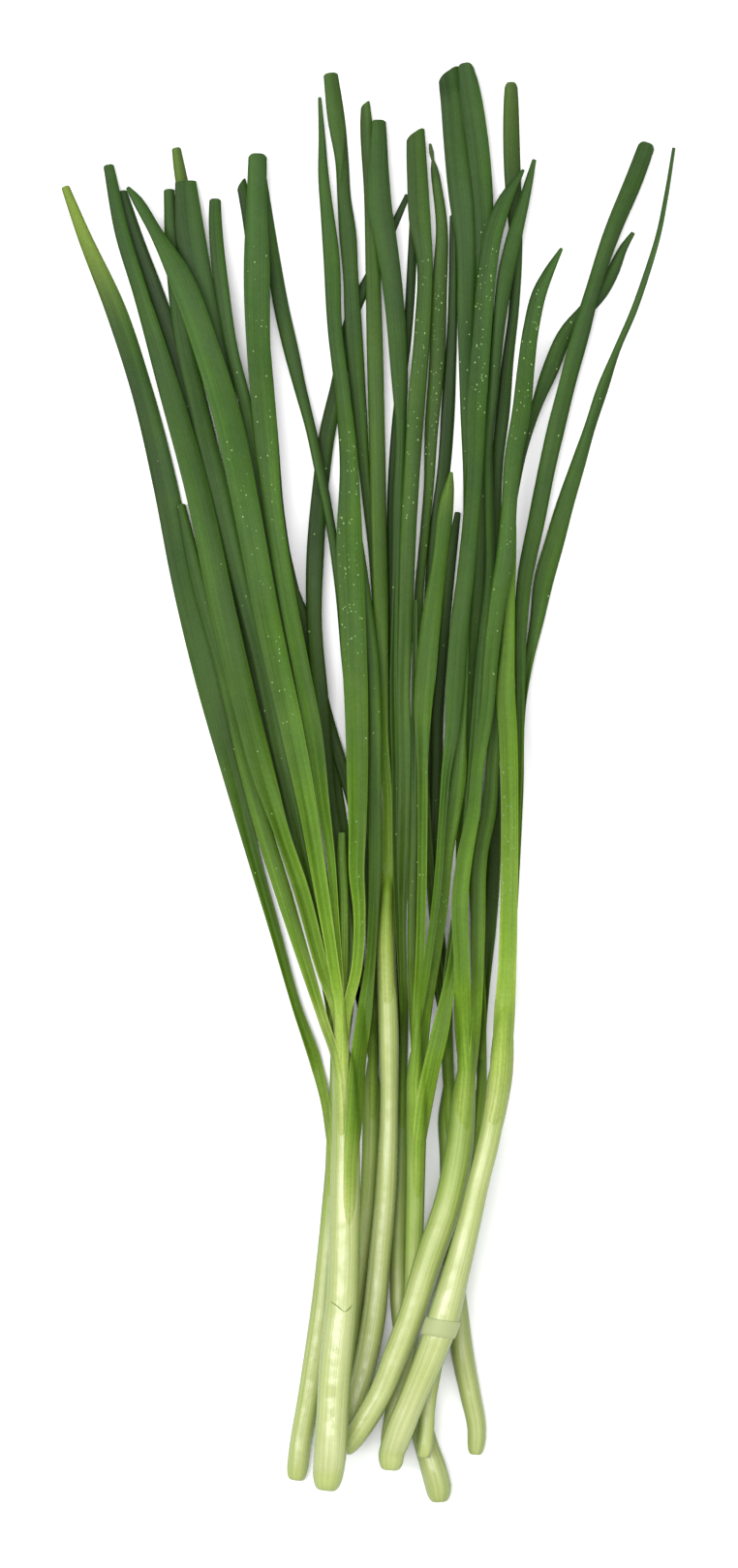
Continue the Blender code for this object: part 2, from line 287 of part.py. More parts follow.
class Strip:
    """One stalk or leaf: its stations in plan, its section at each, and its height once it lies on the pile."""

    def __init__(self, name, shoot, points):
        self.name = name
        self.shoot = shoot
        self.is_stalk = name == "stalk"
        table = np.array(points)
        self.plan = table[:, :2]
        steps = np.diff(self.plan, axis=0)
        lengths = np.linalg.norm(steps, axis=1)
        directions = steps / lengths[:, None]
        ends = np.vstack([directions[:1], directions, directions[-1:]])
        forward = ends[:-1] + ends[1:]
        forward /= np.linalg.norm(forward, axis=1)[:, None]
        self.spacing = lengths
        self.along = np.concatenate([[0.0], np.cumsum(lengths)])
        self.across = np.stack([forward[:, 1], -forward[:, 0]], axis=1)
        # The width was read straight across the photo, so a slanting strip is narrower than that.
        self.half_width = 0.5 * table[:, 2] * np.abs(forward[:, 1])
        self.base = np.zeros(len(table))
        self.profile = [self.section(i) for i in range(len(table))]

    def section(self, i):
        """The outline at a station: (offset across, height over the base) points, lowest edge first, anticlockwise."""
        half = self.half_width[i]
        if self.is_stalk:
            turns = (np.arange(STALK_SIDES) + 0.5) * 2 * np.pi / STALK_SIDES - np.pi / 2
            reach = 1 / np.cos(np.pi / STALK_SIDES)
            return np.stack(
                [half * reach * np.cos(turns), half * STALK_FLATNESS * (1 + reach * np.sin(turns))], axis=1)
        full = self.half_width.max()
        grown = min(1.0, self.along[i] / FOLD_LENGTH)
        folded = np.sqrt(max(0.0, full ** 2 - half ** 2)) * (1 - grown)
        fold = min(DEEPEST_FOLD, max(SHALLOWEST_FOLD * half / 3, folded))
        middle = max(BLADE_THICKNESS, fold + EDGE_THICKNESS - 0.4 * half)
        if i == 0:
            middle = max(middle, ROOT_THICKNESS)
        return np.array([
            (0.0, 0.0), (half, fold), (half, fold + EDGE_THICKNESS), (0.0, middle),
            (-half, fold + EDGE_THICKNESS), (-half, fold)])

    def underside(self, i, places):
        outline = self.profile[i]
        if self.is_stalk:
            lower = outline[[6, 7, 0, 1]]
        else:
            lower = outline[[5, 0, 1]]
        half = self.half_width[i]
        return np.interp(places * half, lower[:, 0], lower[:, 1])

    def topside(self, i, places):
        outline = self.profile[i]
        if self.is_stalk:
            upper = outline[[5, 4, 3, 2]]
        else:
            upper = outline[[4, 3, 2]]
        half = self.half_width[i]
        return np.interp(places * half, upper[:, 0], upper[:, 1])

    def samples(self):
        """Points all over the strip: for each, its segment, share of the way, plan position, underside and topside."""
        count = int(2 * self.half_width.max() / (0.7 * GRID_STEP)) + 3
        places = np.linspace(-1.0, 1.0, count)
        for i, length in enumerate(self.spacing):
            shares = np.linspace(0.0, 1.0, int(length / (0.7 * GRID_STEP)) + 2)[:, None]
            low = (1 - shares) * self.underside(i, places) + shares * self.underside(i + 1, places)
            high = (1 - shares) * self.topside(i, places) + shares * self.topside(i + 1, places)
            sides = []
            for station in (i, i + 1):
                offsets = places[:, None] * self.half_width[station] * self.across[station]
                sides.append(self.plan[station] + offsets)
            spots = (1 - shares[:, :, None]) * sides[0] + shares[:, :, None] * sides[1]
            yield i, shares, spots, low, high

    def height_at(self, spot):
        """The height of this strip's middle under a plan position."""
        nearest = np.argmin(np.linalg.norm(self.plan - spot, axis=1))
        first = min(max(nearest - 1, 0), len(self.plan) - 2)
        best = None
        for i in range(first, min(first + 2, len(self.plan) - 1)):
            step = self.plan[i + 1] - self.plan[i]
            share = np.clip(np.dot(spot - self.plan[i], step) / np.dot(step, step), 0.0, 1.0)
            away = np.linalg.norm(self.plan[i] + share * step - spot)
            tall = [self.profile[k][:, 1].max() / 2 + self.base[k] for k in (i, i + 1)]
            height = (1 - share) * tall[0] + share * tall[1]
            if best is None or away < best[0]:
                best = (away, height)
        return best[1]


def cells_of(spots):
    columns = ((spots[..., 0] - GRID_LOW_X) / GRID_STEP).astype(int)
    rows = ((spots[..., 1] - GRID_LOW_Y) / GRID_STEP).astype(int)
    return columns, rows


def lowest_stations(strip, top, owner, shoot_number):
    """The lowest height each station may have so that the strip clears all that lies under it."""
    least = np.zeros(len(strip.plan))
    for i, shares, spots, low, _ in strip.samples():
        columns, rows = cells_of(spots)
        beneath = top[columns, rows].copy()
        if not strip.is_stalk:
            in_root = strip.along[i] + shares * strip.spacing[i] < ROOT_ZONE
            beneath[in_root & (owner[columns, rows] == shoot_number)] = 0.0
        needed = np.where(beneath > 0, beneath + GAP - low, 0.0).max()
        least[i] = max(least[i], needed)
        least[i + 1] = max(least[i + 1], needed)
    return least


def settle(strip, stalk, top, owner, shoot_number):
    """Lays the strip on the pile as a stiff ribbon that sags a little between what holds it up."""
    least = lowest_stations(strip, top, owner, shoot_number)
    sag = STALK_SAG if strip.is_stalk else LEAF_SAG
    base = least.copy()
    if stalk is not None:
        middle = strip.profile[0][:, 1].max() / 2
        base[0] = max(0.0, stalk.height_at(strip.plan[0]) - middle)
    for _ in range(SETTLING_ROUNDS):
        for i in range(1, len(base) - 1):
            before, after = strip.spacing[i - 1], strip.spacing[i]
            straight = (base[i - 1] * after + base[i + 1] * before) / (before + after)
            base[i] = max(least[i], straight - sag * before * after / 2)
        base[-1] = max(least[-1], base[-2] - END_DROOP * strip.spacing[-1])
        if strip.is_stalk:
            onward = (base[1] - base[2]) * strip.spacing[0] / strip.spacing[1]
            base[0] = max(least[0], base[1] + onward - END_DROOP * strip.spacing[0])
    strip.base = base


def stamp(strip, top, owner, shoot_number):
    """Marks the strip's topside on the height map, one cell wider all round."""
    for i, shares, spots, _, high in strip.samples():
        heights = (1 - shares) * strip.base[i] + shares * strip.base[i + 1] + high
        columns, rows = cells_of(spots)
        for right in (-1, 0, 1):
            for up in (-1, 0, 1):
                place = (columns.ravel() + right, rows.ravel() + up)
                order = np.argsort(heights.ravel())
                place = (place[0][order], place[1][order])
                value = heights.ravel()[order]
                higher = value > top[place]
                place = (place[0][higher], place[1][higher])
                top[place] = value[higher]
                owner[place] = shoot_number


def pile_up():
    """Every strip in order, each laid on those before it."""
    top = np.zeros(GRID_SIZE)
    owner = np.full(GRID_SIZE, -1)
    numbers = {}
    stalks = {}
    strips = []
    for name, shoot, points in PILE:
        strip = Strip(name, shoot, points)
        number = numbers.setdefault(shoot, len(numbers))
        settle(strip, stalks.get(shoot), top, owner, number)
        stamp(strip, top, owner, number)
        if strip.is_stalk:
            stalks[shoot] = strip
        strips.append(strip)
    return strips


def loft(name, rings):
    """A closed mesh through rings of points, each ring anticlockwise as seen from ahead of it."""
    count = len(rings[0])
    points = [tuple(METRES * np.array(point)) for ring in rings for point in ring]
    faces = [tuple(range(count))]
    for k in range(len(rings) - 1):
        for j in range(count):
            a = k * count + j
            b = k * count + (j + 1) % count
            faces.append((b, a, a + count, b + count))
    last = (len(rings) - 1) * count
    faces.append(tuple(last + j for j in reversed(range(count))))
    mesh = bpy.data.meshes.new(name)
    mesh.from_pydata(points, [], faces)
    mesh.update()
    return bpy.data.objects.new(name, mesh)


def ring_at(strip, i):
    across = strip.across[i]
    return [
        (strip.plan[i][0] + offset * across[0], strip.plan[i][1] + offset * across[1], strip.base[i] + height)
        for offset, height in strip.profile[i]]


def strip_object(strip):
    return loft(f"{strip.shoot}_{strip.name}", [ring_at(strip, i) for i in range(len(strip.plan))])


def sheath_ring(stalk):
    """The leftover of an outer sheath: a short collar, raised from the stalk on its top and sides."""
    rings = []
    for y in (RING_CENTRE_Y - RING_HALF_LENGTH, RING_CENTRE_Y + RING_HALF_LENGTH):
        order = np.argsort(stalk.plan[:, 1])
        ys = stalk.plan[order, 1]
        x = np.interp(y, ys, stalk.plan[order, 0])
        base = np.interp(y, ys, stalk.base[order])
        half = np.interp(y, ys, stalk.half_width[order])
        near = np.argmin(np.abs(stalk.plan[:, 1] - y))
        across = stalk.across[near]
        shape = stalk.profile[near] * half / stalk.half_width[near]
        centre = shape[:, 1].mean()
        ring = []
        for offset, height in shape:
            wide = offset * (1 + RING_RAISE / half)
            tall = height if height < centre else centre + (height - centre) * (1 + RING_RAISE / half)
            ring.append((x + wide * across[0], y + wide * across[1], base + tall))
        rings.append(ring)
    return loft("sheath_ring", rings)


def principled(name, colour, roughness):
    material = bpy.data.materials.new(name)
    material.use_nodes = True
    shader = material.node_tree.nodes["Principled BSDF"]
    shader.inputs["Base Color"].default_value = (*colour, 1.0)
    shader.inputs["Roughness"].default_value = roughness
    shader.inputs["Metallic"].default_value = 0.0
    return material


def fused(name, pieces, material, bunch):
    """One closed body from a shoot's stalk and leaves."""
    body = pieces[0]
    body.name = name
    bunch.objects.link(body)
    others = bpy.data.collections.new(name + "_leaves")
    bunch.children.link(others)
    for piece in pieces[1:]:
        others.objects.link(piece)
    union = body.modifiers.new("union", "BOOLEAN")
    union.operation = "UNION"
    union.operand_type = "COLLECTION"
    union.collection = others
    union.solver = "EXACT"
    bpy.context.view_layer.update()
    graph = bpy.context.evaluated_depsgraph_get()
    mesh = bpy.data.meshes.new_from_object(body.evaluated_get(graph))
    body.modifiers.clear()
    body.data = mesh
    mesh.materials.clear()
    mesh.materials.append(material)
    for piece in pieces[1:]:
        bpy.data.objects.remove(piece)
    bpy.data.collections.remove(others)
    return body


def main():
    bunch = clear_scene()
    material = principled("chive", CHIVE_GREEN, LEAF_ROUGHNESS)
    strips = pile_up()
    shoots = []
    for strip in strips:
        if strip.shoot not in shoots:
            shoots.append(strip.shoot)
    for shoot in shoots:
        pieces = [strip_object(strip) for strip in strips if strip.shoot == shoot]
        if shoot == "front_right":
            stalk = next(strip for strip in strips if strip.shoot == shoot and strip.is_stalk)
            pieces.append(sheath_ring(stalk))
        fused("shoot_" + shoot, pieces, material, bunch)


main()
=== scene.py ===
"""A bunch of garlic chives lying on a pale table, seen from straight above.

Each shoot is a pale stalk that forks into long keeled leaves. The strips lie on one another in the order
of PILE. Routes are in millimetres, with X to the right, Y to the leaf tips and Z up from the table. Objects
are in metres.
"""

import bpy
import numpy as np
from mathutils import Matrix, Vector


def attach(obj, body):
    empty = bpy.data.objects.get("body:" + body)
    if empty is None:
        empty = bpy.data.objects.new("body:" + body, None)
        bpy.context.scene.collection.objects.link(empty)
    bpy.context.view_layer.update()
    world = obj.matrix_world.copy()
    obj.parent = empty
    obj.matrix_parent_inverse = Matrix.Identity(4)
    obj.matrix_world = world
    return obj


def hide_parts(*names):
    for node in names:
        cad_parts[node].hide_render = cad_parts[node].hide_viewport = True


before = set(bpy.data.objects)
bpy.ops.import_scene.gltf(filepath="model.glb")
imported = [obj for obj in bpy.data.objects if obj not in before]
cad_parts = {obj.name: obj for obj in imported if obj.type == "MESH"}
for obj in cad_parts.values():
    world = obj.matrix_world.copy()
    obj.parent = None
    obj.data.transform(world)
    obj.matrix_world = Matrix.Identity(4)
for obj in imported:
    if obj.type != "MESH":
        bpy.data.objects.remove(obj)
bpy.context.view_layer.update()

METRES = 0.001

# How the strips are piled up
GRID_STEP = 0.4
GRID_LOW_X = -95.0
GRID_LOW_Y = -200.0
GRID_SIZE = (480, 1000)
SAMPLE_STEP = 0.7 * GRID_STEP
GAP = 0.45
SETTLING_ROUNDS = 400
LEAF_SAG = 0.0012
STALK_SAG = 0.0002
ROOT_ZONE = 34.0
END_DROOP = 0.03

# Cross sections of the plain solids, which the heights are worked out from
STALK_SIDES = 8
STALK_FLATNESS = 0.84
EDGE_THICKNESS = 0.6
BLADE_THICKNESS = 1.15
SHALLOWEST_FOLD = 0.35
USUAL_HALF_WIDTH = 3
DEEPEST_FOLD = 1.5
FOLD_LENGTH = 150.0
BLADE_FALL = 0.4
ROOT_THICKNESS = 1.6

# Fine surfaces
STATION_STEP = 2.2
LEAF_COLUMNS = 13
STALK_COLUMNS = 30
STALK_TURNS = np.linspace(0, 2 * np.pi, STALK_COLUMNS, endpoint=False) - np.pi / 2
SHARP_ANGLE = np.radians(58)
STALK_TAPER = 16.0
STALK_TIP_NARROWING = 0.75
STALK_TOP_LEVEL = -0.2

# A leaf's section: how thick it is, how its thickness runs out to the edges, and its channelled top
FINE_BLADE = 0.95
FINE_EDGE = 0.22
KEEL_SOFTNESS = 0.2
BLADE_ROUNDING = 2.2
BLADE_FULLNESS = 0.8
THICKNESS_GAIN = 0.6
CHANNEL_DEPTH = 0.45
YOUNG_THICKNESS = 0.4

# Where a leaf's foot lies on its stalk
FORK_LENGTH = 50.0
FORK_STEP = 0.9
FOOT_LENGTH = 20.0
FOOT_CLEARANCE = 4.0
FOOT_ROOM = 0.8
FOOT_SPREAD = 0.006
FOOT_NARROWING = 0.25
FOOT_SINK = 0.5
FOOT_LIFT = 0.08
FOOT_LIFT_STEP = 0.12
RISEN_AT = 4.0
OPENING_START = 4.0
OPENING_END = 26.0
SHORT_LEAF_OPENING = 0.45
DRAPE_LENGTH = 60.0
WIDE_FOOT_NARROWING = 0.08
WIDE_FOOT_START = 9.0
WIDE_FOOT_FADE = (6.0, 30.0)
BED_TAPER = 0.25
BESIDE_SLOPE = 0.8
PAST_SLOPE = 0.5

# How a leaf sways from side to side, and how its tip is cut, worn or turned back
ROLL = 0.11
ROLL_WAVES = (50, 80)
ROLL_START = (30, 60)
TIP_LENGTH = 5.0
WORN_START = 4.0
DEEPEST_WEAR = 0.6
TURNED_HEIGHT = 0.5
TURNED_WIDTH = 1.6
TURNED_BLUR = 0.8

# Tints on a leaf: along it, from the middle to the edges, and from one leaf to the next, with painted shade at
# the edges, on one half either side of the keel and on leaves lower in the pile
MARGIN_PALENESS = 0.22
MARGIN_START = 0.72
MARGIN_GAIN = 1.6
# Painted shade: how much darker an open leaf is at its edges
PAINTED_EDGE_SHADE = 0.14
# Painted light and shade: one half of a leaf lighter and the other darker either side of its keel, swapping in
# waves along it
PAINTED_HALF_SHADE = 0.17
HALVES_WAVES = (130, 260)
HALVES_START = (10, 40)
KEEL_BLUR = 0.12
YELLOW_START = 40.0
TIP_YELLOW_END = 4
TONE_RANGE = 0.10
# Painted shade: leaves lower in the pile darker, higher ones lighter
PAINTED_DEPTH_SHADE = 0.16
MIDDLE_DEPTH = 0.6
SHADE_REACH = (40, 95)
STALK_TONE_SHARE = 0.35
STALK_TONE_END = 14.0
TONE_WAVES = (60, 140)
TONE_WAVE = 0.05

# Tints are (paleness, tone, yellowness, 1)
CUT_PALENESS = 0.9
CRACK_TINT = (0.60, 0.25, 0.0, 1.0)
RING_TINT = (0.75, 0.5, 0.0, 1.0)
DROP_TINT = (1.0, 0.5, 0.0, 1.0)

# Lengths on a strip are divided by this for its texture places
UV_LENGTH = 100.0

# How pale each stalk is at heights up the photo
STALK_LOOKS = {
    "front_left": ([-180, -110, -85, -60], [0.97, 0.94, 0.85, 0.69]),
    "back_left": ([-180, -120, -80], [0.95, 0.85, 0.60]),
    "thin_left": ([-170, -110, -65], [0.90, 0.81, 0.53]),
    "centre": ([-170, -90, -60, -40, -28], [0.94, 0.90, 0.84, 0.70, 0.56]),
    "crossing": ([-172, -130, -105, -80, -62], [0.95, 0.89, 0.77, 0.61, 0.48]),
    "inner_right": ([-173, -140, -122, -108, -90, -62], [0.93, 0.87, 0.79, 0.66, 0.57, 0.47]),
    "front_right": ([-177, -130, -82, -62], [0.98, 0.94, 0.85, 0.60]),
    "right": ([-174, -130, -95, -72], [0.92, 0.86, 0.64, 0.40]),
    "low_right": ([-186, -130, -95, -67], [0.93, 0.84, 0.60, 0.36]),
    "thin_right": ([-174, -120, -90, -70], [0.90, 0.80, 0.60, 0.42]),
}

# Tones run from 0, dark, to 1, light
PLAIN_TONE = 0.5
STALK_TONES = {"right": 0.36, "low_right": 0.36, "centre": 0.47, "crossing": 0.48}
SHADED_FEET = {"low_right": 0.45, "right": 0.40, "thin_left": 0.35, "thin_right": 0.20}

# What a leaf looks like where LEAF_LOOKS says nothing else. "fade" is how far its paleness reaches, "foot"
# how much paler it is than its stalk where it leaves it, and "wide_foot" how much of the stalk's width its
# foot covers. "slant", "rounding" and "ragged" shape its tip. "turned" is for a tip that is turned back:
# (distance of the fold from the end, slope of the fold, change of tone past it).
PLAIN_LEAF = {
    "tone": PLAIN_TONE, "fade": 62.0, "foot": 0.0, "wide_foot": 0.0, "yellow": 0.0, "tip_yellow": 0.0,
    "tip_length": 45.0, "slant": 0.0, "rounding": 0.35, "ragged": 0.0, "turned": (0.0, 0.0, 0.0)}

# Painted shade: the lowest tones, on leaf_05, leaf_13, leaf_14, leaf_40, leaf_41, leaf_48, leaf_52 and
# leaf_53, darken leaves lying under others
LEAF_LOOKS = {
    "leaf_01": {"tip_yellow": 0.70, "tip_length": 44.0},
    "leaf_02": {"tone": 0.52},
    "leaf_03": {"tone": 0.35},
    "leaf_04": {"tone": 0.68},
    "leaf_05": {"tone": 0.12},
    "leaf_06": {"rounding": 0.1},
    "leaf_09": {"yellow": 0.20},
    "leaf_10": {"tone": 0.64, "rounding": 0.45},
    "leaf_11": {"tone": 0.45, "slant": 0.9},
    "leaf_12": {"tone": 0.42},
    "leaf_13": {"tone": 0.20},
    "leaf_14": {"tone": 0.20},
    "leaf_15": {"tone": 0.60},
    "leaf_16": {"tone": 0.25},
    "leaf_17": {"fade": 70.0, "tone": 0.42, "foot": -0.28},
    "leaf_18": {"fade": 58.0, "yellow": 0.05, "tone": 0.46, "slant": 0.7, "wide_foot": 1.0},
    "leaf_20": {"tone": 0.48},
    "leaf_22": {"tip_yellow": 0.04, "tone": 0.40, "turned": (23.0, 8.0, 0.24)},
    "leaf_26": {"tone": 0.55, "yellow": 0.04, "slant": 0.6},
    "leaf_28": {"yellow": 0.06, "ragged": 9.0, "turned": (10.0, 1.0, -0.30)},
    "leaf_29": {"tone": 0.46, "slant": 0.5, "turned": (6.5, 0.4, -0.24)},
    "leaf_30": {"tone": 0.46, "rounding": 0.8},
    "leaf_32": {"tip_yellow": 0.12, "tone": 0.40, "rounding": 0.9},
    "leaf_34": {"tone": 0.62, "wide_foot": 0.72},
    "leaf_35": {"fade": 100.0, "tone": 0.54, "yellow": 0.04, "wide_foot": 1.0},
    "leaf_36": {"tone": 0.42, "rounding": 0.6},
    "leaf_37": {"tone": 0.36},
    "leaf_38": {"tone": 0.45},
    "leaf_40": {"tone": 0.10},
    "leaf_41": {"tone": 0.10},
    "leaf_42": {"fade": 90.0, "tip_yellow": 0.15, "tip_length": 14.0},
    "leaf_43": {"fade": 85.0, "tone": 0.56, "wide_foot": 0.8},
    "leaf_48": {"tone": 0.15},
    "leaf_51": {"fade": 85.0, "tone": 0.52},
    "leaf_52": {"tone": 0.16},
    "leaf_53": {"tone": 0.16},
}

# Water drops: on a leaf, between two heights up the photo, this many
DROPS = {
    "leaf_15": [(30.0, 92.0, 70), (-40.0, 30.0, 12)],
    "leaf_31": [(95.0, 140.0, 45)],
    "leaf_34": [(85.0, 130.0, 30), (20.0, 85.0, 14)],
    "leaf_28": [(60.0, 140.0, 50)],
    "leaf_26": [(60.0, 140.0, 30)],
    "leaf_10": [(60.0, 140.0, 26)],
    "leaf_04": [(10.0, 90.0, 34)],
    "leaf_35": [(-32.0, 5.0, 26)],
    "leaf_43": [(-42.0, -28.0, 16)],
    "leaf_32": [(-40.0, 40.0, 12)],
    "leaf_29": [(0.0, 120.0, 22)],
    "leaf_30": [(20.0, 150.0, 16)],
    "leaf_37": [(20.0, 120.0, 24)],
}
STRAY_DROPS = [(-40.0, 110.0, 4)]
DROPS_START = 20
DROP_LEAF_HALF_WIDTH = 1.0
FEWEST_DROP_PLACES = 4
DROP_RADII = (0.10, 0.25)
DROP_SIDES = 8
DROP_STRETCH = 1.25

# Rings of a drop as (share of its radius, height in radii)
DROP_PROFILE = [(1.0, -0.05), (0.92, 0.22), (0.66, 0.46), (0.25, 0.60)]

# A stalk's cut face as rings of (share of its width, depth, yellowness), with the rolled sheaths as ridges
CUT_FACE = [
    (0.05, 0.25, 0.5), (0.14, 0.10, 0.7), (0.19, 0.32, 0.0), (0.33, 0.30, 0.1), (0.37, 0.12, 0.7),
    (0.41, 0.22, 0.1), (0.46, 0.18, 0.1), (0.49, 0.06, 0.6), (0.53, 0.08, 0.0), (0.62, 0.20, 0.0),
    (0.72, 0.48, 0.0), (0.81, 0.90, 0.0), (0.88, 1.5, 0.0), (0.94, 2.3, 0.0), (0.98, 3.2, 0.0),
    (1.0, 4.2, 0.0)]
CUT_FACE_MARGIN = 0.6

# The dry sheath ring round the front right stalk: rings of (share of its half length, height off the stalk)
RING_CENTRE_Y = -139.5
RING_HALF_LENGTH = 2.3
RING_PROFILE = [
    (-1.0, 0.02), (-0.94, 0.30), (-0.6, 0.42), (0.0, 0.44), (0.6, 0.48), (0.94, 0.38), (1.0, 0.02)]
RING_OBLIQUE = 0.16

# The torn skin of the front left stalk
CRACKS = [
    [(-9.9, -132.9), (-8.2, -134.0), (-6.4, -135.5)],
    [(-6.4, -135.5), (-5.5, -135.2), (-4.3, -133.8)]]
CRACK_STEPS = 10
CRACK_WIDTH = 0.16
CRACK_RAISE = 0.12
CRACK_SINK = 0.1
CRACK_END_WIDTH = 0.25
CRACK_TOP_SHARE = 0.3

# Colours of the leaves and stalks, from dark green to the pale cut end
GREEN_STOPS = [
    (0.0, (0.025, 0.066, 0.009)),
    (0.15, (0.037, 0.090, 0.005)),
    (0.35, (0.072, 0.150, 0.007)),
    (0.55, (0.136, 0.238, 0.018)),
    (0.75, (0.265, 0.350, 0.070)),
    (0.9, (0.370, 0.425, 0.150)),
    (1.0, (0.420, 0.460, 0.215)),
]
STREAK_STOPS = [(0.3, (0.55, 0.60, 0.5)), (0.7, (1.2, 1.16, 1.1))]
YELLOWED = (0.200, 0.290, 0.035, 1.0)
DARKEST_GAIN = 0.55
TONE_GAIN = 0.9
BLOTCHING = 0.22
VEINS = 230.0
# Painted shade: the colour is darkest where the surface's normal points up by the first of these, and full by
# the second
SIDE_SHADE_LEVELS = (0.20, 0.97)
GLOSSY_PALENESS = (0.72, 0.96)
LEAF_ROUGHNESS = 0.50
STALK_ROUGHNESS = 0.22

# Camera: the photograph's frame is 190.5 by 405 mm at the bunch's own height
FRAME_HEIGHT = 0.405
FRAME_PLANE_Z = 0.008
LENS_MM = 180.0
SENSOR_MM = 36.0
FARTHEST_SEEN = 20.0

# Lights as (name, place, size, power), all turned to the middle of the table
LIGHTS = [
    ("key", (-0.75, 0.10, 2.5), (0.5, 2.4), 70.0),
    ("fill", (0.9, -0.3, 1.3), (1.2, 1.2), 4.0)]
SKY_STRENGTH = 0.80
TABLE_SIZE = 6.0

RANDOM_SEED = 7

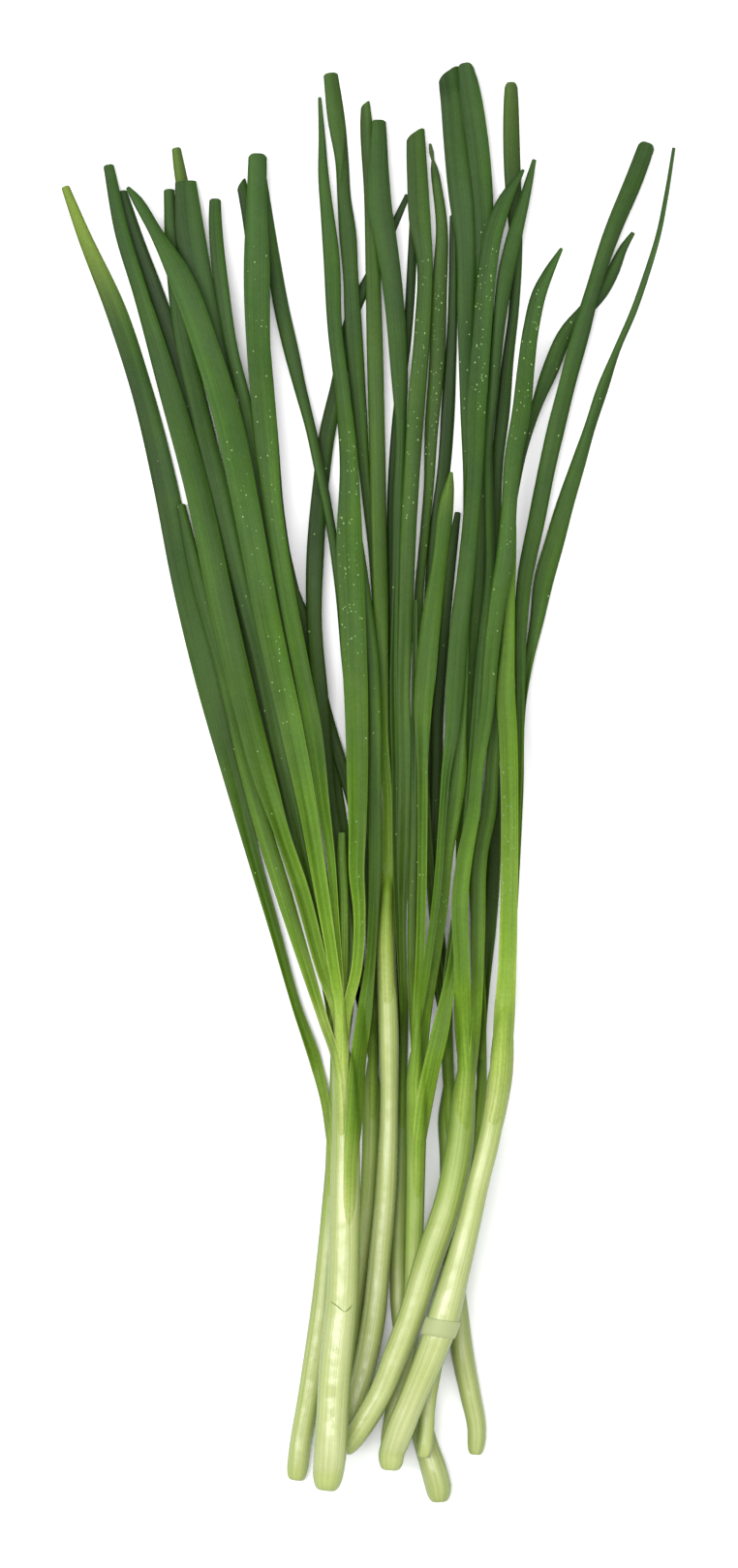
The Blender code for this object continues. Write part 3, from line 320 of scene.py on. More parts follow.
# Each strip is (name, shoot, points), from the lowest in the pile to the highest.
# A point is (x, y, width across the photo).
PILE = [
    ("stalk", "low_right", [
        (18.3, -186.0, 6.0), (18.0, -183.0, 6.8), (16.8, -177.5, 7.0), (15.2, -172.5, 6.5),
        (13.2, -165.0, 6.2), (11.2, -155.0, 5.8), (9.2, -145.0, 5.0), (7.8, -135.0, 4.5),
        (7.5, -122.5, 4.0), (7.8, -110.0, 4.0), (8.2, -97.5, 4.0), (8.5, -82.5, 3.6),
        (8.6, -67.5, 3.2)]),
    ("leaf_41", "low_right", [
        (8.5, -76.0, 2.2), (8.2, -60.0, 2.2), (7.6, -37.5, 2.3), (6.5, -7.5, 2.3),
        (6.0, 22.5, 2.3), (5.8, 52.5, 2.3), (6.0, 77.5, 2.3), (7.2, 95.0, 2.3),
        (9.8, 115.0, 2.3), (11.2, 137.5, 2.3), (11.5, 148.8, 1.8)]),
    ("stalk", "thin_left", [
        (-7.8, -171.2, 4.0), (-6.2, -157.5, 4.2), (-4.8, -147.5, 4.2), (-3.5, -135.0, 4.2),
        (-1.8, -122.5, 4.2), (-0.4, -110.0, 4.4), (0.4, -97.5, 4.6), (0.7, -82.5, 4.6),
        (0.9, -65.0, 4.0)]),
    ("leaf_11", "thin_left", [
        (1.2, -72.0, 2.4), (0.0, -65.0, 2.8), (-2.0, -55.0, 3.2), (-2.9, -47.5, 3.4), (-4.4, -32.5, 3.5),
        (-6.2, -17.5, 3.5), (-11.2, 12.5, 3.5),
        (-18.0, 42.5, 3.5), (-23.5, 67.5, 3.5), (-26.0, 92.5, 4.0), (-28.2, 117.5, 4.0),
        (-30.2, 140.0, 3.5), (-31.8, 150.0, 3.2), (-33.2, 156.0, 2.8)]),
    ("leaf_14", "thin_left", [
        (1.2, -72.0, 2.5), (0.8, -47.5, 2.8), (-0.2, -25.0, 3.0), (-3.8, -6.2, 3.2),
        (-7.5, 6.2, 3.2), (-11.0, 17.5, 3.5), (-14.5, 32.5, 3.5), (-17.0, 42.5, 3.8),
        (-19.5, 50.0, 3.0), (-23.0, 67.5, 3.0), (-25.0, 90.0, 3.0), (-26.5, 107.5, 3.0),
        (-27.8, 127.5, 2.0)]),
    ("stalk", "back_left", [
        (-18.9, -180.4, 5.6), (-17.6, -170.0, 5.7), (-15.8, -160.0, 5.8), (-13.8, -147.5, 6.0),
        (-12.0, -135.0, 6.0), (-10.8, -122.5, 5.5), (-9.8, -110.0, 5.0), (-9.0, -97.5, 4.5),
        (-9.2, -87.5, 3.8), (-9.2, -79.0, 2.9)]),
    ("leaf_09", "back_left", [
        (-9.2, -86.0, 2.4), (-8.2, -57.5, 3.0), (-12.8, -22.5, 3.5), (-20.2, 12.5, 4.5),
        (-26.5, 47.5, 5.0), (-32.8, 77.5, 5.0), (-37.0, 92.5, 5.0), (-41.0, 107.5, 4.6),
        (-44.5, 127.5, 4.2), (-47.2, 148.8, 3.6), (-49.2, 160.0, 3.0), (-50.0, 165.0, 2.4)]),
    ("leaf_05", "back_left", [
        (-9.2, -86.0, 2.4), (-8.6, -67.5, 3.0), (-10.6, -52.5, 3.2), (-15.4, -32.5, 3.6),
        (-20.4, -12.5, 4.0), (-24.6, 7.5, 4.6), (-28.2, 27.5, 5.0), (-34.0, 52.5, 4.5),
        (-42.2, 82.5, 5.0), (-47.2, 102.5, 5.0), (-55.5, 127.5, 4.8), (-60.0, 140.0, 4.2),
        (-64.2, 153.8, 3.0)]),
    ("leaf_07", "back_left", [
        (-9.2, -86.0, 2.4), (-8.8, -62.5, 2.6), (-10.8, -42.5, 3.0), (-16.8, -17.5, 3.5),
        (-22.8, 7.5, 4.0), (-28.2, 32.5, 4.5), (-34.8, 57.5, 5.0), (-39.5, 77.5, 5.8),
        (-44.0, 97.5, 5.0), (-48.5, 117.5, 4.5), (-51.0, 137.5, 3.5), (-51.8, 154.2, 2.8)]),
    ("leaf_06", "back_left", [
        (-9.2, -86.0, 2.4), (-8.5, -67.5, 3.0), (-8.8, -50.0, 3.0), (-14.0, -22.5, 3.5),
        (-19.5, 7.5, 5.0), (-25.8, 37.5, 6.0), (-31.2, 67.5, 6.5), (-36.2, 92.5, 7.0),
        (-41.5, 117.5, 7.5), (-43.5, 127.5, 7.5), (-46.2, 142.5, 7.5), (-47.5, 156.2, 5.5)]),
    ("leaf_08", "back_left", [
        (-9.2, -86.0, 2.4), (-8.5, -62.5, 2.6), (-9.5, -42.5, 3.0), (-14.2, -12.5, 3.5),
        (-19.2, 17.5, 4.0), (-24.2, 47.5, 4.5), (-28.8, 77.5, 4.2), (-31.8, 97.5, 3.5),
        (-35.5, 112.5, 3.3), (-38.0, 127.5, 3.8), (-39.8, 147.5, 3.3), (-39.8, 151.5, 3.0)]),
    ("leaf_13", "back_left", [
        (-9.2, -86.0, 2.4), (-6.9, -67.5, 3.4), (-5.4, -52.5, 3.6), (-5.9, -37.5, 3.4),
        (-7.9, -22.5, 3.6), (-10.5, -2.5, 4.0), (-12.5, 22.5, 4.0), (-14.2, 42.5, 4.0), (-14.0, 57.5, 4.5),
        (-12.5, 77.5, 4.2), (-10.5, 92.5, 4.2), (-8.2, 102.5, 4.0), (-3.8, 123.0, 3.5),
        (1.8, 134.5, 3.0), (6.8, 145.5, 2.2), (10.0, 152.8, 1.5)]),
    ("leaf_01", "back_left", [
        (-9.8, -92.0, 2.6), (-11.3, -82.5, 2.5), (-13.7, -72.5, 3.3), (-18.8, -57.5, 2.6),
        (-24.5, -37.5, 3.0), (-30.2, -17.5, 3.8), (-35.2, 2.5, 5.8), (-41.8, 27.5, 7.0),
        (-47.8, 52.5, 6.8), (-52.8, 77.5, 6.5), (-59.0, 102.5, 5.8), (-65.5, 122.5, 5.8),
        (-74.0, 142.5, 3.8), (-78.8, 155.0, 2.3)]),
    ("leaf_12", "thin_left", [
        (1.2, -74.0, 2.5), (1.2, -57.5, 2.8), (1.2, -37.5, 3.0), (1.2, -17.5, 3.0),
        (-0.8, -2.5, 3.2), (-3.2, 12.5, 3.2), (-5.2, 27.5, 3.0), (-7.8, 52.5, 2.5),
        (-10.0, 67.5, 2.4), (-13.0, 82.5, 2.8), (-15.2, 92.5, 2.8), (-17.8, 102.5, 3.3),
        (-20.2, 112.5, 4.0), (-22.5, 122.5, 4.0), (-25.0, 137.5, 3.5), (-27.8, 157.5, 2.5)]),
    ("stalk", "right", [
        (27.5, -173.8, 4.6), (27.9, -167.5, 4.9), (26.1, -157.5, 5.5), (24.2, -147.5, 5.8),
        (23.2, -137.5, 5.2), (22.0, -127.5, 5.2), (21.2, -117.5, 5.0), (20.8, -107.5, 5.0),
        (20.9, -97.5, 5.2), (20.6, -87.5, 5.6), (20.4, -72.5, 5.2)]),
    ("leaf_40", "right", [
        (20.8, -80.0, 2.6), (20.3, -62.5, 2.6), (18.2, -37.5, 2.6), (16.2, -7.5, 2.4),
        (15.5, 22.5, 2.6), (15.8, 47.5, 3.0), (17.2, 65.0, 3.2), (19.5, 82.5, 3.4),
        (20.5, 97.5, 3.5), (21.0, 107.5, 3.1), (21.5, 117.5, 2.6), (21.8, 132.5, 2.2),
        (21.8, 147.5, 1.8)]),
    ("leaf_48", "right", [
        (20.6, -80.0, 2.6), (20.0, -65.0, 2.6), (17.4, -47.5, 2.6), (16.8, -27.5, 2.2),
        (17.0, -12.5, 2.2), (17.5, 5.0, 3.0), (17.8, 17.5, 3.0), (18.8, 30.0, 2.6),
        (20.2, 47.5, 2.7), (21.8, 62.5, 2.5), (23.0, 70.5, 1.6)]),
    ("leaf_28", "right", [
        (20.6, -80.0, 2.6), (19.4, -62.5, 2.6), (17.4, -42.5, 2.4), (15.5, -17.5, 2.4),
        (13.8, 7.5, 2.5), (12.8, 27.5, 2.5), (13.0, 50.0, 2.4), (14.2, 62.5, 2.4),
        (15.5, 77.5, 2.6), (16.2, 92.5, 3.5), (17.5, 107.5, 4.0), (18.2, 127.5, 4.0),
        (18.8, 145.0, 3.0), (17.2, 157.5, 2.3), (15.8, 166.0, 1.2)]),
    ("stalk", "thin_right", [
        (14.0, -174.0, 4.2), (14.8, -167.5, 4.0), (15.0, -162.5, 4.0), (17.0, -150.0, 4.0),
        (19.8, -135.0, 4.0), (22.8, -120.0, 4.0), (25.2, -107.5, 4.0), (27.2, -95.0, 3.8),
        (28.5, -82.5, 3.2), (29.5, -70.0, 3.0)]),
    ("leaf_52", "thin_right", [
        (28.8, -80.0, 2.2), (29.1, -67.5, 2.1), (30.0, -52.5, 2.5), (31.2, -37.5, 3.4),
        (32.1, -22.5, 3.8), (32.4, -7.5, 3.6), (32.2, 7.5, 3.0), (31.6, 27.5, 2.2), (31.0, 45.0, 1.4)]),
    ("leaf_32", "thin_right", [
        (29.0, -78.0, 2.4), (28.9, -60.0, 2.4), (28.6, -37.5, 2.6), (29.4, -17.5, 2.8),
        (31.6, -2.5, 2.9), (32.8, 17.5, 3.0), (32.8, 37.5, 3.0), (32.6, 52.5, 3.0),
        (32.8, 67.5, 2.8), (33.2, 82.5, 3.0), (34.8, 97.5, 3.5), (36.0, 110.0, 3.0),
        (37.5, 122.5, 2.6), (38.2, 137.5, 3.0), (37.8, 147.5, 3.8), (37.2, 157.5, 4.3),
        (36.8, 175.0, 4.0), (36.8, 182.0, 3.4)]),
    ("stalk", "centre", [
        (-6.0, -170.0, 5.5), (-4.2, -161.5, 6.0), (-1.6, -152.5, 6.0), (0.5, -142.5, 6.2),
        (2.8, -122.5, 5.8), (4.5, -102.5, 5.5), (5.2, -82.5, 4.8), (5.0, -62.5, 5.3),
        (4.5, -47.5, 5.0), (4.4, -37.5, 4.6), (4.8, -28.0, 4.0)]),
    ("leaf_22", "centre", [
        (4.5, -40.0, 2.8), (5.0, -22.5, 2.5), (5.2, -7.5, 2.5), (4.5, 7.5, 2.8),
        (3.0, 37.5, 3.2), (1.2, 62.5, 3.2), (-0.8, 77.5, 2.8), (-2.5, 97.5, 3.8),
        (-4.0, 117.5, 4.5), (-4.8, 132.5, 4.0), (-5.5, 142.5, 4.5), (-6.5, 152.5, 3.5),
        (-7.0, 161.2, 3.5), (-8.5, 172.5, 4.5), (-10.0, 184.4, 3.8)]),
    ("leaf_18", "centre", [
        (4.5, -42.5, 4.0), (4.8, -27.5, 3.8), (4.9, -12.5, 3.0), (4.7, -2.5, 2.6),
        (3.5, 12.5, 3.0), (3.2, 27.5, 3.5), (3.0, 47.5, 4.0), (2.5, 67.5, 4.2),
        (2.0, 92.5, 4.2), (1.5, 112.5, 4.2), (1.0, 132.5, 3.8), (0.2, 152.5, 3.0),
        (-0.8, 172.5, 3.0), (-1.0, 176.5, 2.4)]),
    ("leaf_20", "low_right", [
        (8.6, -76.0, 2.4), (9.0, -60.0, 2.0), (8.4, -47.5, 2.0), (7.6, -32.5, 2.0),
        (7.2, -17.5, 2.2), (7.0, 2.5, 2.2), (6.5, 27.5, 2.2), (6.8, 47.5, 2.1),
        (7.5, 72.5, 3.0), (8.2, 92.5, 2.9), (7.8, 107.5, 4.5), (6.2, 127.5, 5.2),
        (4.0, 142.5, 6.0), (3.0, 147.5, 6.4), (2.5, 157.5, 5.5), (2.5, 172.0, 3.8)]),
    ("leaf_26", "low_right", [
        (8.7, -76.0, 2.4), (9.2, -60.0, 1.9), (8.9, -47.5, 1.9), (8.7, -32.5, 2.1),
        (9.0, -22.5, 3.4), (9.5, 2.5, 3.8), (9.0, 22.5, 3.3), (9.5, 42.5, 3.8),
        (10.0, 62.5, 4.2), (11.2, 82.5, 4.2), (12.2, 97.5, 4.5), (13.8, 117.5, 4.2),
        (14.2, 137.5, 4.5), (13.5, 142.5, 5.4), (12.5, 157.5, 5.4), (12.0, 169.0, 4.8)]),
    ("stalk", "inner_right", [
        (4.8, -173.2, 4.4), (5.5, -167.5, 4.5), (7.8, -155.0, 4.5), (10.0, -145.0, 4.8),
        (11.2, -132.5, 4.8), (11.8, -112.5, 4.8), (12.1, -97.5, 5.0), (12.2, -87.5, 5.3),
        (12.0, -72.5, 4.6), (12.1, -61.2, 3.8)]),
    ("stalk", "crossing", [
        (-6.6, -172.2, 6.4), (-3.6, -168.0, 7.0), (-0.4, -163.0, 7.2), (2.8, -157.5, 7.0),
        (6.9, -147.5, 7.2), (10.7, -137.5, 7.2), (15.4, -122.5, 7.7), (20.5, -107.5, 7.6),
        (23.4, -92.5, 7.2), (24.3, -82.5, 6.3), (25.1, -72.5, 5.2), (24.8, -62.5, 4.4)]),
    ("leaf_29", "crossing", [
        (24.3, -74.0, 3.0), (24.0, -60.0, 3.0), (23.8, -42.5, 3.2), (24.2, -17.5, 3.5),
        (24.8, 7.5, 3.8), (25.5, 32.5, 4.0), (26.2, 57.5, 4.2), (26.5, 77.5, 4.2),
        (25.8, 97.5, 4.4), (25.2, 117.5, 4.5), (24.8, 142.5, 5.5), (23.8, 152.5, 6.4),
        (22.4, 167.5, 6.4), (21.7, 177.5, 6.5), (20.6, 185.0, 6.0)]),
    ("leaf_30", "thin_right", [
        (29.2, -78.0, 2.6), (29.0, -62.5, 2.6), (28.1, -42.5, 3.0), (27.0, -17.5, 3.3),
        (26.8, 7.5, 3.2), (27.5, 32.5, 3.2), (28.5, 52.5, 3.0), (29.5, 72.5, 3.0),
        (30.0, 92.5, 3.8), (29.8, 112.5, 4.5), (30.0, 132.5, 4.8), (29.8, 147.5, 5.0),
        (27.9, 167.5, 5.8), (25.9, 180.0, 5.6), (24.7, 186.8, 4.4)]),
    ("leaf_33", "right", [
        (20.9, -80.0, 2.6), (20.2, -65.0, 2.8), (20.4, -50.0, 2.6), (22.8, -32.5, 2.6),
        (25.2, -12.5, 2.6), (27.2, 12.5, 2.6), (29.2, 37.5, 2.6), (31.0, 52.5, 2.5),
        (31.0, 72.5, 2.5), (30.8, 87.5, 2.4), (32.2, 102.5, 2.8), (33.5, 117.5, 3.2),
        (35.5, 132.5, 4.2), (37.8, 142.5, 4.0), (40.5, 152.5, 2.7), (42.8, 161.8, 1.2)]),
    ("leaf_51", "inner_right", [
        (12.9, -92.5, 3.4), (14.2, -82.5, 4.6), (15.9, -73.8, 4.5), (18.5, -62.5, 4.4),
        (20.0, -55.0, 3.5), (21.5, -47.5, 3.0), (22.8, -37.5, 2.6), (23.8, -27.5, 1.6)]),
    ("leaf_43", "inner_right", [
        (12.2, -77.5, 4.0), (13.2, -66.2, 4.4), (14.2, -57.5, 4.4), (16.0, -47.5, 4.0),
        (18.5, -32.5, 3.5), (20.0, -17.5, 3.7), (21.8, -7.5, 3.7), (23.0, 2.5, 4.2),
        (23.5, 12.5, 3.0), (24.2, 27.5, 2.8), (24.8, 42.5, 2.0)]),
    ("leaf_53", "inner_right", [
        (11.8, -70.0, 2.0), (11.2, -55.0, 2.1), (11.1, -42.5, 2.4), (11.3, -27.5, 2.5),
        (11.6, -12.5, 2.6), (11.7, 2.5, 2.2), (11.8, 17.5, 2.0), (11.9, 32.5, 1.7), (12.0, 47.5, 1.2)]),
    ("leaf_42", "inner_right", [
        (12.0, -72.0, 2.2), (12.1, -60.0, 1.9), (13.0, -47.5, 2.3), (13.6, -27.5, 2.4),
        (13.8, -7.5, 2.5), (13.8, 7.5, 3.0), (13.8, 17.5, 4.4), (14.5, 27.5, 5.2),
        (16.0, 42.5, 5.0), (18.2, 57.5, 4.0), (20.0, 72.5, 3.7), (20.8, 77.5, 2.3),
        (21.2, 80.5, 1.0)]),
    ("leaf_31", "inner_right", [
        (12.4, -74.0, 2.4), (12.9, -60.0, 2.2), (14.8, -47.5, 2.0), (17.5, -27.5, 2.0),
        (19.0, -7.5, 2.0), (19.8, 2.5, 2.4), (21.2, 12.5, 3.5), (21.8, 20.0, 4.5),
        (23.0, 37.5, 4.8), (25.2, 57.5, 4.3), (27.0, 77.5, 4.3), (27.8, 97.5, 5.2),
        (29.2, 117.5, 5.0), (30.5, 132.5, 5.0), (32.2, 142.5, 4.9), (36.0, 152.5, 3.8),
        (37.8, 155.5, 2.6), (40.0, 159.0, 1.0)]),
    ("leaf_37", "crossing", [
        (26.2, -76.0, 2.5), (27.4, -65.0, 2.5), (27.8, -52.5, 3.1), (28.0, -37.5, 3.8),
        (28.8, -17.5, 3.8), (30.8, -7.5, 3.9), (31.8, 5.0, 3.4), (32.5, 17.5, 2.8),
        (33.2, 42.5, 2.8), (34.8, 57.5, 2.8), (37.2, 75.0, 2.8), (40.0, 87.5, 2.6),
        (43.2, 97.5, 3.0), (47.0, 107.5, 4.6), (51.5, 117.5, 4.6), (55.8, 122.5, 4.8),
        (60.2, 127.5, 4.3), (63.0, 132.5, 3.7), (66.2, 139.5, 2.3), (68.5, 143.0, 1.4)]),
    ("stalk", "front_right", [
        (5.5, -177.0, 6.6), (5.9, -172.5, 6.9), (7.5, -167.5, 7.7), (11.5, -157.5, 7.6),
        (15.6, -147.5, 8.2), (19.1, -137.5, 8.5), (20.5, -132.5, 8.0), (23.2, -122.5, 7.0),
        (25.8, -112.5, 6.2), (28.1, -102.5, 5.8), (30.6, -92.5, 5.8), (32.5, -82.5, 5.7),
        (33.6, -72.5, 6.1), (34.5, -62.5, 5.4)]),
    ("leaf_38", "front_right", [
        (34.4, -74.0, 2.6), (36.2, -47.5, 2.4), (37.8, -22.5, 2.2), (39.0, -2.5, 1.8),
        (40.0, 22.5, 1.8), (41.5, 32.5, 2.5), (43.5, 42.5, 3.7), (45.2, 52.5, 5.2),
        (48.0, 62.5, 5.2), (50.8, 72.5, 4.7), (54.0, 82.5, 4.0), (57.2, 92.5, 3.1),
        (60.5, 102.5, 3.2), (64.2, 112.5, 2.0), (68.5, 122.5, 1.9), (72.0, 132.5, 1.7),
        (75.0, 142.5, 1.4), (77.0, 152.5, 1.2), (79.0, 165.0, 0.9)]),
    ("leaf_36", "front_right", [
        (34.6, -74.0, 2.8), (35.8, -50.0, 2.8), (37.0, -27.5, 2.6), (38.0, -7.5, 2.4),
        (38.8, 7.5, 2.3), (39.0, 22.5, 2.5), (39.2, 40.0, 3.4), (40.2, 52.5, 4.0),
        (43.2, 67.5, 4.5), (46.2, 82.5, 4.5), (48.5, 92.5, 4.7), (51.0, 102.5, 4.5),
        (55.0, 117.5, 4.7), (57.8, 127.5, 4.0), (62.8, 142.5, 4.6), (69.0, 157.5, 5.0),
        (72.2, 166.2, 4.6)]),
    ("leaf_35", "front_right", [
        (34.0, -74.0, 5.0), (34.8, -60.0, 5.4), (35.5, -47.5, 4.8), (36.0, -27.5, 4.5),
        (36.2, -7.5, 4.5), (35.8, 12.5, 4.8), (35.2, 25.0, 4.8), (35.8, 35.0, 3.5),
        (36.2, 47.5, 3.0), (36.8, 62.5, 2.5), (37.0, 77.5, 1.5)]),
    ("leaf_34", "crossing", [
        (25.2, -74.0, 4.2), (24.4, -62.5, 4.7), (23.9, -47.5, 4.1), (23.5, -27.5, 4.3),
        (24.8, -17.5, 4.0), (26.8, -7.5, 3.5), (28.0, 5.0, 3.3), (30.2, 17.5, 3.5),
        (31.5, 32.5, 3.8), (33.2, 47.5, 4.5), (35.0, 57.5, 4.8), (36.2, 72.5, 4.0),
        (37.0, 82.5, 4.5), (39.5, 97.5, 4.9), (40.5, 107.5, 4.5), (41.8, 117.5, 4.2),
        (44.2, 127.5, 3.9), (46.5, 132.5, 3.0), (49.8, 138.5, 1.1)]),
    ("stalk", "front_left", [
        (-11.0, -181.8, 7.3), (-10.0, -172.5, 8.5), (-9.4, -162.5, 8.3), (-8.8, -152.5, 8.5),
        (-6.8, -132.5, 8.4), (-6.2, -110.0, 8.0), (-6.0, -97.5, 7.5), (-6.0, -85.0, 7.0),
        (-6.5, -75.0, 6.2), (-7.2, -66.2, 5.0), (-7.6, -58.8, 3.6)]),
    ("leaf_03", "front_left", [
        (-7.6, -76.0, 2.5), (-9.0, -68.8, 2.5), (-11.2, -62.5, 2.7), (-16.0, -47.5, 3.5),
        (-22.3, -27.5, 4.5), (-28.5, -7.5, 4.5), (-31.2, 2.5, 4.2), (-37.2, 27.5, 4.0),
        (-44.2, 52.5, 4.0), (-48.8, 72.5, 2.5)]),
    ("leaf_02", "front_left", [
        (-7.2, -72.0, 3.0), (-8.0, -60.0, 3.0), (-12.0, -47.5, 3.6), (-17.4, -27.5, 4.2),
        (-22.5, -12.5, 4.3), (-27.2, 2.5, 6.2), (-31.2, 17.5, 6.5), (-37.2, 42.5, 6.8),
        (-44.8, 77.5, 6.5), (-51.8, 102.5, 5.8), (-59.2, 127.5, 4.2), (-63.8, 142.5, 4.0),
        (-67.5, 160.5, 2.8)]),
    ("leaf_17", "front_left", [
        (-4.8, -97.5, 3.4), (-4.0, -87.5, 4.5), (-2.9, -72.5, 4.2), (-1.0, -57.5, 3.8),
        (0.2, -47.5, 2.8), (1.2, -32.5, 2.8), (1.6, -22.5, 3.4), (1.5, -2.5, 3.5),
        (1.5, 17.5, 3.5), (0.9, 32.5, 3.4), (-0.8, 47.5, 3.0), (-3.2, 67.5, 1.8)]),
    ("leaf_16", "front_left", [
        (-6.8, -68.0, 2.2), (-6.4, -47.5, 2.1), (-6.5, -27.5, 2.3), (-7.0, -17.5, 2.5),
        (-7.0, -12.5, 2.0)]),
    ("leaf_15", "front_left", [
        (-6.6, -72.0, 2.8), (-6.0, -60.0, 2.8), (-3.2, -47.5, 2.8), (-2.5, -32.5, 3.2),
        (-3.2, -22.5, 4.0), (-3.0, -12.5, 4.5), (-3.0, 2.5, 5.5), (-3.2, 17.5, 6.0),
        (-4.2, 42.5, 6.8), (-5.0, 62.5, 6.8), (-5.2, 82.5, 4.8), (-7.0, 102.5, 4.0),
        (-8.8, 117.5, 3.8), (-9.8, 137.5, 4.2), (-10.8, 147.5, 3.5), (-11.8, 157.5, 2.8),
        (-12.2, 167.5, 1.8), (-12.8, 178.0, 0.9)]),
    ("leaf_10", "front_left", [
        (-7.2, -70.0, 2.5), (-7.4, -55.0, 2.3), (-8.5, -37.5, 2.0), (-10.0, -17.5, 2.3),
        (-11.5, -7.5, 3.2), (-14.2, 12.5, 4.5), (-17.0, 27.5, 4.5), (-21.8, 52.5, 4.5),
        (-25.0, 72.5, 5.0), (-26.8, 92.5, 6.0), (-28.5, 112.5, 6.2), (-29.0, 132.5, 6.8),
        (-29.0, 152.5, 5.2), (-28.8, 163.2, 4.8)]),
    ("leaf_04", "front_left", [
        (-7.2, -72.0, 3.0), (-7.4, -58.8, 2.8), (-9.0, -47.5, 2.8), (-12.2, -27.5, 3.8),
        (-15.5, -7.5, 4.8), (-19.5, 12.5, 6.0), (-26.0, 42.5, 6.5), (-31.8, 72.5, 7.0),
        (-36.0, 92.5, 7.5), (-42.0, 112.5, 7.2), (-49.5, 132.5, 6.5), (-55.0, 142.5, 4.0),
        (-61.0, 152.5, 2.6), (-62.5, 154.4, 1.4)]),
]


def ahead_of(across):
    """The direction up a strip in plan, from the direction across it."""
    return np.array([-across[1], across[0]])


def across_from(forward):
    return np.stack([forward[:, 1], -forward[:, 0]], axis=1)


def unit_rows(rows):
    return rows / np.linalg.norm(rows, axis=1)[:, None]


def smooth_step(low, high, value):
    t = np.clip((value - low) / (high - low), 0.0, 1.0)
    return t * t * (3 - 2 * t)


def wave(along, length, phase):
    return np.sin(2 * np.pi * along / length + phase)


class Strip:
    """One stalk or leaf: its stations in plan, its section at each, and its height on the pile."""

    def __init__(self, name, shoot, points):
        self.name = name
        self.shoot = shoot
        self.is_stalk = name == "stalk"
        self.lower_corners = [6, 7, 0, 1] if self.is_stalk else [5, 0, 1]
        self.upper_corners = [5, 4, 3, 2] if self.is_stalk else [4, 3, 2]
        table = np.array(points)
        self.plan = table[:, :2]
        steps = np.diff(self.plan, axis=0)
        self.spacing = np.linalg.norm(steps, axis=1)
        directions = unit_rows(steps)
        ends = np.vstack([directions[:1], directions, directions[-1:]])
        forward = unit_rows(ends[:-1] + ends[1:])
        self.along = np.concatenate([[0.0], np.cumsum(self.spacing)])
        self.across = across_from(forward)
        # The width was read straight across the photo, so a slanting strip is narrower than that.
        self.half_width = 0.5 * table[:, 2] * np.abs(forward[:, 1])
        self.base = np.zeros(len(table))
        self.profile = [self.section(i) for i in range(len(table))]

    def section(self, i):
        """The outline at a station, anticlockwise: (offset across, height over the base) points."""
        half = self.half_width[i]
        if self.is_stalk:
            turns = (np.arange(STALK_SIDES) + 0.5) * 2 * np.pi / STALK_SIDES - np.pi / 2
            reach = 1 / np.cos(np.pi / STALK_SIDES)
            return np.stack(
                [half * reach * np.cos(turns), half * STALK_FLATNESS * (1 + reach * np.sin(turns))], axis=1)
        full = self.half_width.max()
        grown = min(1.0, self.along[i] / FOLD_LENGTH)
        folded = np.sqrt(max(0.0, full ** 2 - half ** 2)) * (1 - grown)
        fold = min(DEEPEST_FOLD, max(SHALLOWEST_FOLD * half / USUAL_HALF_WIDTH, folded))
        middle = max(BLADE_THICKNESS, fold + EDGE_THICKNESS - BLADE_FALL * half)
        if i == 0:
            middle = max(middle, ROOT_THICKNESS)
        return np.array([
            (0.0, 0.0), (half, fold), (half, fold + EDGE_THICKNESS), (0.0, middle),
            (-half, fold + EDGE_THICKNESS), (-half, fold)])

    def side(self, i, places, corners):
        """The height of one side of the outline, at places from -1 to 1 across it."""
        line = self.profile[i][corners]
        return np.interp(places * self.half_width[i], line[:, 0], line[:, 1])

    def samples(self):
        """Points over each segment: its number, shares of the way, plan positions, heights below and above."""
        count = int(2 * self.half_width.max() / SAMPLE_STEP) + 3
        places = np.linspace(-1.0, 1.0, count)
        for i, length in enumerate(self.spacing):
            shares = np.linspace(0.0, 1.0, int(length / SAMPLE_STEP) + 2)[:, None]
            low, high = [
                (1 - shares) * self.side(i, places, corners) + shares * self.side(i + 1, places, corners)
                for corners in (self.lower_corners, self.upper_corners)]
            sides = [
                self.plan[station] + places[:, None] * self.half_width[station] * self.across[station]
                for station in (i, i + 1)]
            spots = (1 - shares[:, :, None]) * sides[0] + shares[:, :, None] * sides[1]
            yield i, shares, spots, low, high

    def middle_of(self, i):
        return self.profile[i][:, 1].max() / 2 + self.base[i]

    def height_at(self, spot):
        """The height of this strip's middle under a plan position."""
        nearest = np.argmin(np.linalg.norm(self.plan - spot, axis=1))
        first = min(max(nearest - 1, 0), len(self.plan) - 2)
        best = None
        for i in range(first, min(first + 2, len(self.plan) - 1)):
            step = self.plan[i + 1] - self.plan[i]
            share = np.clip(np.dot(spot - self.plan[i], step) / np.dot(step, step), 0.0, 1.0)
            away = np.linalg.norm(self.plan[i] + share * step - spot)
            if best is None or away < best[0]:
                best = (away, (1 - share) * self.middle_of(i) + share * self.middle_of(i + 1))
        return best[1]


def cells_of(spots):
    columns = ((spots[..., 0] - GRID_LOW_X) / GRID_STEP).astype(int)
    rows = ((spots[..., 1] - GRID_LOW_Y) / GRID_STEP).astype(int)
    return columns, rows


